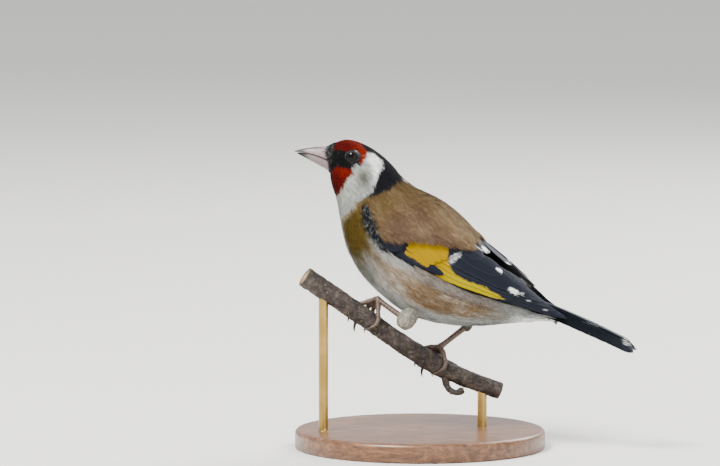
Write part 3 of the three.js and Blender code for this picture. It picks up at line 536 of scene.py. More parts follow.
def streaky(station, angle, long, wide, seed):
    """Smooth noise from 0 to 1 in streaks along the body, long stations by wide degrees in size."""
    grid = np.random.default_rng(seed).random((64, 256))
    row, column = np.asarray(station) / long + 3, (np.asarray(angle) + 180) / wide
    i, j = np.floor(row).astype(int), np.floor(column).astype(int)
    down, over = share(0, 1, row - i), share(0, 1, column - j)
    corner = [[grid[(i + m) % 64, (j + n) % 256] for n in (0, 1)] for m in (0, 1)]
    return mixed(mixed(corner[0][0], corner[0][1], over), mixed(corner[1][0], corner[1][1], over), down)


def spot(x, z, middle, size):
    """A soft round mark in side view: 1 at its middle, small beyond its size."""
    return np.exp(-(((x - middle[0]) / size[0]) ** 2 + ((z - middle[1]) / size[1]) ** 2))


def plumage(station, angle, wild=0.0):
    """Colour of the coat at places on the body. wild moves a place by its millimetres."""
    side = np.abs(angle)
    place = unturned_body(station, angle)
    x, z = place[..., 0] + wild, place[..., 2] - 0.6 * wild
    fleck = 0.6 * streaky(station, angle, 0.55, 2.4, 1) + 0.4 * streaky(station, angle, 0.22, 1.3, 2)
    cloud = 0.5 * streaky(station, angle, 1.3, 9, 3) + 0.5 * streaky(station, angle, 0.6, 5, 4)
    mottled = share(0.5, 0.8, fleck)
    high = 1.2 - 0.9 * share(28, 56, side)
    flank = share(94, 102, side + 4 * (cloud - 0.5))
    pale = share(0.35, 0.8, 0.6 * fleck + 0.55 * cloud - 0.1 + 0.35 * share(118, 136, side))
    under = side + 26 * (cloud - 0.5) + 8 * share(11, 13, station) + 8 * share(9.6, 8.4, station)
    under = share(118, 142, under)
    breast = share(5.0, 6.2, station + 0.15 * wild) * (1 - share(8.0, 10.2, station + 0.8 * (cloud - 0.5)))
    breast = breast * share(90, 99, side + 3 * wild)
    low = np.interp(station, low_line[:, 0], low_line[:, 1])
    wing_edge = np.exp(-((side - low - 5) / 5.0) ** 2) * share(7.2, 8.2, station)
    wing_edge = wing_edge * (1 - 0.55 * share(9.2, 10.4, station))
    rear = share(12.2, 14.0, station + 0.7 * (cloud - 0.5))
    white, black, mask = [share(-0.3, 0.3, inside_of(outline, x, z))
                          for outline in (head_white, nape_black, mask_black)]
    throat, crown = [share(-0.2, 0.2, inside_of(outline, x, z)) for outline in (throat_red, crown_red)]
    nape = 0.6 * share(-0.5, 0.6, inside_of(nape_white, x, z)) * (1 - share(3, 13, side + 8 * (fleck - 0.5)))
    head = white * share(5.5, 4.5, station)
    chin = np.exp(-((180 - side) / 34) ** 2) * share(80.2, 82.5, z)
    return layered(np.broadcast_to(feather["back"], x.shape + (3,)), [
        # back: olive-brown in front, rosy over the shoulder, paler towards the rump
        (1 - share(6.4, 8.6, station), "back_front"),
        (share(7.0, 8.4, station) * share(30, 60, side), "back_rose"),
        (0.6 * high * share(7.6, 9.2, station) + 0.8 * (cloud - 0.5), "back_pale"),
        (1.1 * (fleck - 0.55), "back_front"),
        # flank: tan and whitish strands, greyer and paler to the belly and to the rear
        (flank, "flank"),
        (0.6 * flank * share(0.5, 0.85, fleck), "flank_dark"),
        (0.75 * flank * pale, "flank_pale"),
        (under * share(6.4, 8, station), "belly"),
        (0.75 * under * mottled, "belly_grey"),
        # breast: a brown patch on each side, with a pale gap between them
        (breast, "breast"),
        (breast * 1.2 * (fleck - 0.5), "breast_dark"),
        (breast * share(146, 168, side + 14 * (cloud - 0.5)), "belly"),
        # a pale line along the wing's lower edge
        (0.85 * wing_edge, "belly"),
        # rear: whitish under the tail, black over it
        (rear * share(68, 84, side), "under_tail"),
        (share(13.4, 14.4, station) * share(100, 120, side), "white"),
        (0.6 * rear * mottled * (1 - share(13.6, 14.6, station)), "belly_grey"),
        (share(11.6, 12.4, station) * (1 - share(60, 80, side)), "rump"),
        (share(12.2, 12.7, station) * (1 - share(60, 76, side)), "black"),
        # head: white with a grey smudge, then the black and the red over it
        (white, "cheek"),
        (white * 0.4 * (fleck - 0.3), "smudge"),
        (0.25 * white * share(3.8, 5.2, station), "slate"),
        (0.9 * head * spot(x, z, (-18.3, 86.6), (2.2, 3.0)) * (0.55 + 0.9 * fleck), "smudge"),
        (white * spot(x, z, (-26.5, 78.0), (1.2, 3.2)) * 0.5, "belly_grey"),
        (white * 1.5 * spot(x, z, (-14.4, 92.6), (2.6, 2.3)), "white"),
        (white * spot(x, z, (-13.4, 88.6), (1.6, 3.2)), "white"),
        (0.8 * white * spot(x, z, (-16.9, 91.0), (1.6, 0.8)), "slate"),
        (black, "black"),
        (nape, "white"),
        (mask, "jet"),
        (throat, "crimson"),
        (throat * (fleck - 0.5) * 2.0, "deep"),
        (throat * 0.5 * spot(x, z, (-24.5, 89.0), (3.0, 2.0)), "orange"),
        (throat * chin, "jet"),
        (crown, "crimson"),
        (crown * (0.55 - fleck) * 1.6, "deep"),
        (crown * share(-23.5, -18.0, x + 1.5 * (fleck - 0.5)), "orange"),
        # painted highlight: the top of the red crown is made orange, where the light falls from above
        (crown * 0.6 * share(97.6, 98.8, z), "orange"),
    ])


# About how many millimetres a station is long on the side of the body, and a degree wide.
station_size, degree_size = 5.5, 0.22
# The patch of small dark feathers, pale at their edges, in front of the folded wing: station and angle.
shoulder_patch = [(5.7, 98.5), (6.1, 91), (7.4, 93), (8.3, 96), (9.0, 98), (9.2, 102), (8.9, 106),
                  (8.2, 108), (7.4, 109), (6.4, 106)]


def shoulder(station, angle, wild=0.0):
    """1 on the shoulder patch, whose edge wild moves by its millimetres."""
    corners = np.array(shoulder_patch) * (station_size, degree_size)
    inside = inside_of(corners, station * station_size + wild, np.abs(angle) * degree_size + wild)
    return share(-0.3, 0.3, inside)


# Feathered skin: what little shows between the feathers is dull and takes the colour of the down there,
# darkened to 0.4 to 0.7 of it as painted shade between the feathers.
down, tree = finish("skin_down")
tint = node(tree, "Attribute", attribute_name="tint").outputs["Color"]
place = node(tree, "TexCoord").outputs["Object"]
fluff = node(tree, "TexNoise", {"Vector": place, "Scale": 1600, "Detail": 3})
# painted shade: noise darkens the down's colour to 0.4 to 0.7 in the gaps between feathers
shade = node(tree, "MapRange", {"Value": fluff.outputs["Fac"], "To Min": 0.4, "To Max": 0.7})
shadowed = node(tree, "MixRGB", {"Fac": 1.0, "Color1": tint, "Color2": shade.outputs["Result"]},
                blend_type="MULTIPLY")
relief = node(tree, "Bump", {"Height": fluff.outputs["Fac"], "Strength": 0.5, "Distance": 0.0003})
shader = node(tree, "BsdfPrincipled", {
    "Base Color": shadowed.outputs["Color"], "Roughness": 0.9, "IOR": 1.5,
    "Normal": relief.outputs["Normal"]})
node(tree, "OutputMaterial", {"Surface": shader.outputs["BSDF"]})


def unwrap(along, angle):
    """Places on a skin's own unwrap, from shares of its length and angles round it."""
    return np.stack([0.02 + 0.96 * along, 0.5 + 0.48 * angle / 180], -1)


skin_rows, skin_sides = 340, 240
u, a = crossed(np.linspace(0.0, skin_end, skin_rows), np.linspace(-180, 180, skin_sides + 1))
skin_points, skin_normals = bed(u, a)
skin_points = skin_points - skin_normals * (over_wing(u, a) * (bed_depth(u) + 0.3))[..., None]
# painted shade: the skin is coloured black under the wings, where shade falls
skin_tints = coloured(coloured(plumage(u, a), over_wing(u, a), "black"), share(13.3, 14.0, u), "under_tail")
skin_tints = skin_tints.reshape(-1, 3)
skin_points = skin_points.reshape(-1, 3)
first_end = len(skin_points)
ends = [skin_points[:skin_sides].mean(0), skin_points[-skin_sides - 1:].mean(0)]
skin_points = np.concatenate([skin_points, ends])
skin_tints = np.concatenate([skin_tints, skin_tints[:1], skin_tints[-1:]])
skin_places = np.concatenate([unwrap(u / last_station, a).reshape(-1, 2), [[0.01, 0.5], [0.99, 0.5]]])
skin_faces = [woven(skin_rows, skin_sides + 1), *fans(skin_rows, skin_sides + 1, first_end, skin_sides)]
skin = piece("body_skin", skin_points, skin_faces, down, tints=skin_tints, patches=skin_places)
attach(skin, "root")
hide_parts("head", "neck", "torso")

# Thighs
# Plump cuffs of soft feathers over the upper legs, each on a skin of its own like the body's.
# The left one is drawn up into a ball at the heel, and the right one is slimmer there.
heels = {"left": np.array([-2.8, -8.6, 41.7]), "right": np.array([13.6, 8.4, 38.4])}
thighs = {"left": {"hip": np.array([2.5, -5.2, 49.5]), "ball": 2.7, "top": 3.4},
          "right": {"hip": np.array([16.5, 6.5, 44.5]), "ball": 1.35, "top": 3.6}}
thigh_coat = 0.45


def thigh_form(side, t, a, inset):
    """Points and outward normals of a thigh. t runs from hip to heel, a round it in degrees."""
    shape = thighs[side]
    axis = heels[side] - shape["hip"]
    length = np.linalg.norm(axis)
    axis = axis / length
    aside = unit(np.cross(axis, [0, 1, 0]))
    other = np.cross(axis, aside)
    reach = t * (length + shape["ball"])
    end = np.clip((reach - length) / shape["ball"], 0, 1)
    waist = 1 - (0.16 * np.exp(-((reach - length * 0.6) / 1.8) ** 2) if side == "left" else 0)
    radius = mixed(shape["top"], shape["ball"], share(0, 0.8, reach / length)) * waist
    radius = np.maximum(radius * np.sqrt(np.clip(1 - end ** 2, 0, 1)) - inset, 0.02)
    out = aside * np.cos(np.radians(a))[..., None] + other * np.sin(np.radians(a))[..., None]
    reach = np.minimum(reach, length + shape["ball"] - inset)
    points = shape["hip"] + axis * reach[..., None] + out * radius[..., None]
    return points, unit(out + axis * (end * 2.0)[..., None])


for label in ("left", "right"):
    t, a = crossed(np.linspace(0, 1, 60), np.linspace(-180, 180, 73))
    thigh_points, _ = thigh_form(label, t, a, thigh_coat)
    thigh_tints = np.broadcast_to(feather["belly_grey"], (t.size, 3))
    thigh = piece("thigh_skin_" + label, thigh_points.reshape(-1, 3), [woven(60, 73)], down,
                  tints=thigh_tints, patches=unwrap(t, a).reshape(-1, 2))
    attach(thigh, "root")
    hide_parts("thigh_" + label)

# Body feathers
# Small soft feathers over the whole skin, each a spray of loose barbs that lies towards the tail.
# They are shortest round the bill and eyes, longest and loosest on the flanks and under the tail.
chance = np.random.default_rng(7)

# Soft feather barbs: matt. Their tints are darker at their roots, as painted shade deep in the coat, and
# lighter at their tips.
plume, tree = finish("feather_barbs")
tint = node(tree, "Attribute", attribute_name="tint").outputs["Color"]
place = node(tree, "TexCoord").outputs["Object"]
# barbs lie in strands along the body, about 4 mm long and drawn 0.4 mm wide so that they show
strand_way = node(tree, "Mapping", {"Vector": place, "Rotation": (0, np.radians(40), 0),
                                    "Scale": (0.004, 0.00045, 0.00045)}, vector_type="TEXTURE")
strands = node(tree, "TexNoise", {"Vector": strand_way.outputs["Vector"], "Scale": 1.0, "Detail": 3,
                                  "Roughness": 0.6, "Distortion": 0.5})
depth = node(tree, "MapRange", {"Value": strands.outputs["Fac"], "From Min": 0.32, "From Max": 0.68,
                                "To Min": 0.66, "To Max": 1.27})
barbs = node(tree, "MixRGB", {"Fac": 1.0, "Color1": tint, "Color2": depth.outputs["Result"]},
             blend_type="MULTIPLY")
shader = node(tree, "BsdfPrincipled", {
    "Base Color": barbs.outputs["Color"], "Roughness": 0.7, "IOR": 1.5, "Specular IOR Level": 0.05})
node(tree, "OutputMaterial", {"Surface": shader.outputs["BSDF"]})


def scattered(spacing, stations_from, stations_to, keep):
    """Places for feathers about spacing apart over a stretch of the skin: their stations and angles."""
    bands = 60
    width = 360 / bands
    steps = np.linspace(stations_from, stations_to, 400)
    found = []
    for band in range(bands):
        low = -180 + band * width
        line = body(steps, low + width / 2)
        reach = np.concatenate([[0], np.cumsum(np.linalg.norm(np.diff(line, axis=0), axis=1))])
        rows = np.arange(spacing * chance.random(), reach[-1], spacing)
        rows = np.clip(rows + spacing * (chance.random(len(rows)) - 0.5), 0, reach[-1])
        at = np.interp(rows, reach, steps)
        across = np.linalg.norm(body(at, low + width) - body(at, low), axis=1)
        most = int(np.ceil(across.max() / spacing)) + 1
        u = np.repeat(at, most)
        a = low + width * (np.tile(np.arange(most), len(at)) + chance.random(len(u))) / most
        chosen = chance.random(len(u)) < np.repeat(across / spacing / most, most)
        u = np.clip(u + 0.08 * (chance.random(len(u)) - 0.5), stations_from, stations_to)
        found.append(np.stack([u[chosen], a[chosen]], -1))
    u, a = np.concatenate(found).T
    held = keep(u, a)
    return u[held], a[held]


def zigzag(left, right, tip):
    """Points of tapered strips: left and right in turn from the root, then the tip."""
    pairs = np.stack([left, right], 2)
    return np.concatenate([pairs.reshape(len(tip), -1, tip.shape[-1]), tip[:, None]], 1)


# How far a tuft bends down again at its tip, how many degrees its barbs tilt at most, and how much of
# the unwrap it takes.
tuft_droop, tuft_roll, tuft_patch = 0.05, 14.0, 0.003


def feathers(u, a, surface, places, length, width, lift, blades, spread, way, colours, tips, joints=3):
    """Sprays of tapered barbs on a surface, from one colour at the root to another at the tip.
    way turns their lie from straight back, in degrees."""
    n = len(u)
    step = 0.02
    here, up = surface(u, a)
    along = surface(u + step, a)[0] - here
    about = surface(u, a + 1.0)[0] - here
    fast = np.maximum(np.linalg.norm(along, axis=1) / step, 0.5)
    wide = np.maximum(np.linalg.norm(about, axis=1), 0.02)
    points, tints, patches = [], [], []
    reach = np.linspace(0, 1, joints + 1)
    rise = np.sin(np.pi * (0.1 + (0.5 + tuft_droop) * reach)) - np.sin(np.pi * 0.1)
    taper = np.interp(reach, [0, 0.35, 0.75, 1], [0.7, 1.0, 0.7, 0.0])
    for blade in range(blades):
        fan = (blade / (blades - 1) - 0.5) * 2
        turn = np.radians(way + spread * (fan + 0.6 * (chance.random(n) - 0.5)))
        size = length * (1 - 0.16 * abs(fan)) * mixed(0.78, 1.12, chance.random(n))
        du = (np.cos(turn) * size / fast)[:, None] * reach
        da = (np.sin(turn) * size / wide)[:, None] * reach
        aside = fan * width * blades * 0.3 + width * (chance.random(n) - 0.5)
        line, ups = surface(u[:, None] + du, (a + aside / wide)[:, None] + da)
        high = lift * mixed(0.6, 1.15, chance.random(n))
        line = line + ups * (high[:, None] * rise / rise.max())[..., None]
        forward = unit(np.gradient(line, axis=1))
        flat = unit(np.cross(ups, forward))
        tilt = np.radians(tuft_roll) * (2 * chance.random(n) - 1)
        flat = unit(flat * np.cos(tilt)[:, None, None] + ups * np.sin(tilt)[:, None, None])
        half = (width * mixed(0.75, 1.2, chance.random(n)) / 2)[:, None] * taper
        left, right = line - flat * half[..., None], line + flat * half[..., None]
        points.append(zigzag(left[:, :-1], right[:, :-1], line[:, -1]))
        # painted shade: each barb falls to half its colour at the root, deep in the coat, and rises a little
        # towards its tip on top
        tone = mixed(0.84, 1.16, chance.random(n))[:, None] * np.interp(reach, [0, 0.5, 1], [0.5, 0.9, 1.12])
        each = mixed(colours[:, None], tips[:, None], (reach ** 2)[:, None]) * tone[..., None]
        tints.append(zigzag(each[:, :-1], each[:, :-1], each[:, -1]))
        lane = (blade + np.append(np.tile([0.1, 0.9], joints), 0.5)) / blades
        corner = np.stack([np.append(np.repeat(reach[:-1], 2), 1), lane], -1)
        patches.append(places[:, None] + tuft_patch * (corner - 0.5))
    first = (np.arange(n * blades) * (2 * joints + 1))[:, None]
    quads = [first + np.array([2 * j, 2 * j + 1, 2 * j + 3, 2 * j + 2]) for j in range(joints - 1)]
    ends = first + np.array([2 * joints - 2, 2 * joints - 1, 2 * joints])
    layers = [np.concatenate(layer) for layer in (points, tints, patches)]
    points, tints, patches = [layer.reshape(-1, layer.shape[-1]) for layer in layers]
    return points, [np.concatenate(quads), ends], tints, patches


eye_place = (-21.7, 93.3)
eye_radius, eye_proud, eye_bare = 2.5, 0.75, 1.9


def further(u, a, length, way, part):
    """The station and angle that a part of a feather's length reaches along its lie."""
    fast = np.linalg.norm(body(u + 0.02, a) - body(u, a), axis=-1) / 0.02
    wide = np.linalg.norm(body(u, a + 1) - body(u, a), axis=-1)
    reach, turn = part * length, np.radians(way)
    along = reach * np.cos(turn) / np.maximum(fast, 0.5)
    return np.clip(u + along, 0, last_station), a + reach * np.sin(turn) / np.maximum(wide, 0.05)


def stands(u, a):
    """True where body feathers may lie: not on the eyes, and not over the flight feathers."""
    place = unturned_body(u, a)
    eye = np.hypot((place[..., 0] - eye_place[0]) / 1.05, place[..., 2] - eye_place[1])
    return (eye > eye_bare) & (over_wing(u, a) < 0.4)


def lie(u, a):
    """How far the feathers turn from straight back: round the eye, down over the cheek and shoulder."""
    side = np.clip(np.abs(a) / 90, 0, 2)
    cheek = 22 * np.sin(np.pi * np.clip(side / 2, 0, 1)) * share(1.0, 3.5, u) * (1 - share(5.5, 7.5, u))
    shoulders = 14 * share(20, 60, np.abs(a)) * (1 - share(80, 100, np.abs(a))) * share(7.4, 9.0, u)
    waves = 24 * (streaky(u, a, 0.5, 7, 11) - 0.5) + 12 * (streaky(u, a, 0.25, 3, 12) - 0.5)
    return np.sign(a) * (cheek + shoulders) + share(6.5, 8.5, u) * waves


# Each stretch of coat: where it runs along the body and round it, the spacing of its feathers, their
# length and how high they stand at its two ends, the width of a barb, the number of barbs and of their
# joints, and the slot and the solid that it stands for.
coats = {
    "crown": ((0.0, 4.9), (0, 78), 0.33, (0.8, 2.2), (0.22, 0.5), 0.1, 4, 3, "head_plumage", "head"),
    "face": ((0.0, 4.9), (78, 181), 0.33, (0.8, 2.2), (0.22, 0.5), 0.1, 4, 3, "head_plumage", "head"),
    "neck": ((4.9, 6.9), (0, 181), 0.42, (2.0, 3.2), (0.5, 0.8), 0.13, 5, 3, "neck_plumage", "neck"),
    "mantle": ((6.9, 9.2), (0, 92), 0.5, (2.8, 3.8), (0.8, 0.95), 0.15, 5, 3, "body_plumage", "torso"),
    "back": ((9.2, 13.6), (0, 92), 0.5, (3.8, 4.4), (0.9, 0.9), 0.16, 5, 3, "body_plumage", "torso"),
    "breast": ((6.9, 9.2), (92, 181), 0.52, (2.8, 4.0), (0.8, 1.0), 0.15, 5, 3, "body_plumage", "torso"),
    "flanks": ((9.2, 14.2), (74, 132), 0.55, (4.2, 5.6), (0.9, 0.9), 0.17, 5, 4, "body_plumage", "torso"),
    "belly": ((9.2, 14.2), (132, 181), 0.55, (4.2, 5.2), (0.9, 0.8), 0.17, 5, 4, "body_plumage", "torso"),
    "tail_coverts": ((13.6, 15.3), (0, 181), 0.36, (5.0, 3.6), (0.6, 0.4), 0.17, 5, 4, "body_plumage",
                     "tail"),
}

for label, (run, round_it, spacing, long, lifts, width, blades, joints, slot, on) in coats.items():

    def grows(u, a):
        """True where a feather has its root on this stretch, and lies clear of wing and eye."""
        tip = further(u, a, mixed(*long, share(*run, u)), lie(u, a), 0.55)
        return (np.abs(a) >= round_it[0]) & (np.abs(a) < round_it[1]) & stands(u, a) & stands(*tip)

    u, a = scattered(spacing, *run, grows)
    along = share(*run, u)
    length, way = mixed(*long, along), lie(u, a)
    lift = mixed(*lifts, along) * mixed(0.75, 1.2, streaky(u, a, 0.3, 6, 13))
    middle = further(u, a, length, way, 0.6)
    wild = 0.25 * chance.standard_normal(len(u))
    tones = plumage(*middle, wild) * mixed(0.86, 1.14, chance.random(len(u)))[:, None]
    dark = shoulder(*middle, wild)
    roots = coloured(tones, dark, "black")
    fringed = dark * (chance.random(len(u)) < 0.28)
    tips = coloured(roots, fringed, "smudge" if label == "mantle" else "belly_grey")
    cloth = feathers(u, a, dressed, unwrap(u / last_station, a), length * mixed(1, 0.6, dark), width, lift,
                     blades, 10.0, way, roots, tips, joints)
    made = piece("coat_" + label, *cloth[:2], plume, *cloth[2:])
    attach(made, "root")
    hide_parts(on)

# The thighs' feathers have darker and lighter ribs. The right thigh, on the far side, is given darker
# colours as painted shade.
thigh_feathers, thigh_tones = 1500, {"left": ("belly_grey", "flank_pale"), "right": ("smudge", "belly_grey")}
for label, (dark, light) in thigh_tones.items():
    t, a = chance.random(thigh_feathers) ** 0.6 * 0.95, 360 * chance.random(thigh_feathers) - 180
    rib = share(0.35, 0.65, 0.5 + 0.5 * np.sin(np.radians(a) * 14 + 3 * t))[:, None]
    tones = mixed(feather[dark], feather[light], rib)
    tones = tones * mixed(0.9, 1.05, chance.random(thigh_feathers))[:, None]
    cloth = feathers(t, a, lambda t, a: thigh_form(label, np.clip(t, 0, 1), a, thigh_coat), unwrap(t, a),
                     np.full(len(t), 2.6), 0.13, np.full(len(t), 0.75), 5, 14.0, 0 * t, tones, tones)
    made = piece("coat_thigh_" + label, *cloth[:2], plume, *cloth[2:])
    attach(made, "root")
    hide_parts("thigh_" + label)

# Tail
# Twelve long stiff feathers, the middle pair on top, closed like a low roof and a little notched.
# Each is a vane on both sides of a shaft. They are black, with white tips and inner patches.
vane_thickness = 0.16


def leaf(t, half, tip=0.28, root=0.55, blunt=0.5):
    """Half the width of a vane from root to tip: even, then closing in a tip, which is round where
    blunt is low."""
    closing = np.clip((t - (1 - tip)) / tip, 0, 1)
    opening = root + (1 - root) * np.clip(t / 0.15, 0, 1)
    return half * opening * np.clip(1 - closing ** 2.2, 0.0, 1) ** blunt


def vane(centre, up, half, hug=0.0, split=0.0, columns=17, shaft=0.0):
    """A closed thin vane. centre and up are its rows, half its half width at each, hug bends it round
    the body by that radius, shaft sets the quill off its middle. Returns points and faces."""
    rows = len(centre)
    along = unit(np.gradient(centre, axis=0))
    aside = unit(np.cross(up, along))
    s = np.sin(np.linspace(-np.pi / 2, np.pi / 2, columns)) * 0.6 + np.linspace(-1, 1, columns) * 0.4
    # the edge is nicked where barbs part
    nick = 1 - split * chance.random((rows, 2)) ** 3
    wide = np.where(s[None] < 0, nick[:, :1], nick[:, 1:]) * half[:, None] * s
    wide = wide + shaft * half[:, None] * (1 - s ** 2)
    bend = -(wide ** 2) / (2 * hug) if hug else 0 * wide
    # a raised shaft, thinner to the tip, with the vane sloping from it a little
    rib = 0.10 * np.exp(-(s / 0.11) ** 2)[None] * np.linspace(1.0, 0.4, rows)[:, None]
    top = centre[:, None] + aside[:, None] * wide[..., None] + up[:, None] * (bend + rib)[..., None]
    thick = vane_thickness * (1 - 0.75 * np.abs(s) ** 3)
    under = top - up[:, None] * (thick[None] + rib)[..., None]
    points = np.concatenate([top.reshape(-1, 3), under.reshape(-1, 3)])
    sheet = woven(rows, columns)
    below = rows * columns
    rim = np.concatenate([np.arange(columns), np.arange(1, rows) * columns + columns - 1,
                          (rows - 1) * columns + np.arange(columns - 2, -1, -1),
                          np.arange(rows - 2, 0, -1) * columns])
    after = np.roll(rim, -1)
    side = np.stack([after, rim, rim + below, after + below], -1)
    reach = np.repeat(np.linspace(0, 1, rows), columns)
    return points, [sheet, sheet[:, ::-1] + below, side], np.tile(s, rows), reach


def both_faces(*layers):
    """Layers of a vane's upper face, repeated for its lower one."""
    return [np.concatenate([layer, layer]) for layer in layers]


def joined(parts):
    """One mesh from many, each of them points, face groups and any further layers."""
    firsts = np.cumsum([0] + [len(part[0]) for part in parts])
    faces = [group + first for first, part in zip(firsts, parts) for group in part[1]]
    points, *layers = [np.concatenate(layer) for i, layer in enumerate(zip(*parts)) if i != 1]
    return points, faces, *layers


def curve(first, knee, last, t):
    """A curve from the first point to the last, bent towards the knee."""
    t = t[:, None]
    return (1 - t) ** 2 * first + 2 * t * (1 - t) * knee + t ** 2 * last


# Flight feathers: close-knit barbs, smoother than the coat. Black ones have a silky shine, yellow ones
# are matt. A barb runs 3.4 mm towards the tip between the shaft and the edge. Barbs are drawn 0.5 mm
# apart so that they show, where real ones are nearer 0.1 mm.
barb_gap, barb_run = 0.49323, 3.4
quills = {}
for name, shine, smooth_at, rough_at in (("black", 0.12, 0.36, 0.52), ("yellow", 0.0, 0.6, 0.75)):
    quills[name], tree = finish("flight_feather_" + name)
    tint = node(tree, "Attribute", attribute_name="tint").outputs["Color"]
    cut = node(tree, "UVMap", uv_map="Barbs").outputs["UV"]
    lines = node(tree, "TexWave", {"Vector": cut, "Scale": 1.0, "Distortion": 0.6, "Detail": 2.0},
                 wave_type="BANDS", bands_direction="X")
    place = node(tree, "TexCoord").outputs["Object"]
    wear = node(tree, "TexNoise", {"Vector": place, "Scale": 700, "Detail": 3})
    depth = node(tree, "MapRange", {"Value": lines.outputs["Fac"], "To Min": 0.86, "To Max": 1.1})
    barbed = node(tree, "MixRGB", {"Fac": 1.0, "Color1": tint, "Color2": depth.outputs["Result"]},
                  blend_type="MULTIPLY")
    relief = node(tree, "Bump", {"Height": lines.outputs["Fac"], "Strength": 0.35, "Distance": 0.00012})
    gloss = node(tree, "MapRange", {"Value": wear.outputs["Fac"], "To Min": smooth_at, "To Max": rough_at})
    shader = node(tree, "BsdfPrincipled", {
        "Base Color": barbed.outputs["Color"], "Roughness": gloss.outputs["Result"], "IOR": 1.54,
        "Specular IOR Level": shine, "Specular Tint": linear("#c3d3ff"), "Normal": relief.outputs["Normal"]})
    node(tree, "OutputMaterial", {"Surface": shader.outputs["BSDF"]})


def only(held, wanted, points, groups, *layers):
    """The faces of a mesh that lie wholly on held points, or the others, with the points that they use."""
    groups = [group[held[group].all(1) == wanted] for group in groups]
    used = np.unique(np.concatenate([group.ravel() for group in groups]))
    number = np.zeros(len(points), int)
    number[used] = np.arange(len(used))
    return points[used], [number[group] for group in groups], *[layer[used] for layer in layers]


def barb_map(made, lanes, reach, length):
    """A second map on a piece of vanes, whose bands run along the barbs."""
    mesh = made.data
    layer = mesh.uv_layers.new(name="Barbs")
    corners = np.empty(len(mesh.loops), dtype=np.int32)
    mesh.loops.foreach_get("vertex_index", corners)
    # a band of the wave is pi / 10 long on the map
    slant = (reach * length - np.abs(lanes) * barb_run) / barb_gap * np.pi / 10
    flat = np.stack([slant, lanes], -1).astype(np.float32)
    layer.data.foreach_set("uv", flat[corners].ravel())
    mesh.uv_layers.active = mesh.uv_layers["OFBake"]


tail_root, tail_knee, tail_tip = np.array([[39.4, 0, 47.8], [53.6, 0, 42.3], [70.2, 0, 34.2]])
tail_pairs, tail_rows, tail_droop = 6, 60, 1.4
tail_parts = []
for pair in range(tail_pairs):
    for hand in (-1, 1):
        outer = pair / (tail_pairs - 1)
        t = np.linspace(0, 1, tail_rows) * (1 - 0.07 * (1 - outer))
        line = curve(tail_root, tail_knee, tail_tip, t)
        way = unit(np.gradient(line, axis=0))
        up = unit(np.cross(way, [0, 1, 0]))
        up = up * np.sign(up[:, 2:3])
        spread = mixed(0.5, 3.5, t) * (0.12 + 0.88 * outer)
        under = mixed(0.75, 0.16, t) * pair + tail_droop * (spread / 4) ** 2
        line = line + np.array([0, hand, 0]) * spread[:, None] - up * under[:, None]
        leaned = unit(up + np.array([0, hand * mixed(0.2, 0.4, outer), 0]))
        half = leaf(t / t[-1], 2.1, tip=0.1) * mixed(0.6, 1, share(0.1, 0.6, t))
        points, groups, lanes, reach = vane(line, leaned, half, split=0.12, shaft=0.25 * hand)
        # white tips fringed with dark, and white patches on the inner webs of the outer pairs
        inner = lanes * -hand > -0.1
        ragged = reach + 0.012 * np.sin(lanes * 21 + pair) + 0.01 * chance.standard_normal(len(reach))
        white = share(0.925, 0.94, ragged) * (1 - share(0.955, 0.975, ragged))
        white = white * (np.abs(lanes) < 0.65) * (pair < 3)
        patch = share(0.5, 0.53, ragged) * (1 - share(0.62, 0.66, ragged)) * inner * (pair in (1, 4, 5))
        tone = layered(np.broadcast_to(feather["tail_ink"], (len(reach), 3)), [
            (white + patch, "white"), (0.2 * share(0.9, 1.0, np.abs(lanes)) * (1 - white), "grey")])
        column = (pair + (hand > 0) * tail_pairs + 0.45 + 0.4 * lanes) / (2 * tail_pairs)
        where = 0.03 + 0.94 * np.stack([column, reach], -1)
        tail_parts.append((points, groups, *both_faces(tone, where, lanes, reach)))
points, groups, tones, where, lanes, reach = joined(tail_parts)
tail_quills = piece("tail_quills", points, groups, quills["black"], tints=tones, patches=where)
barb_map(tail_quills, lanes, reach, 34.0)
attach(tail_quills, "root")
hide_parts("tail")

# Wings
# Each folded wing is stacked from long primaries below to short coverts above, like slates.
# The quills are black with white marks at their tips. The bases of the flight feathers and the great
# coverts are yellow, and together they make the bar that runs back along the wing.


def wing_point(station, angle, height, hand):
    """Points over the hollow that the wing lies in, and outward directions there."""
    at = np.minimum(station, last_station)
    turn = wing_angle(angle, station, hand)
    normals = body_normal(np.minimum(at, last_station - 0.05), turn)
    return body(at, turn) + normals * (height - bed_depth(station))[..., None], normals


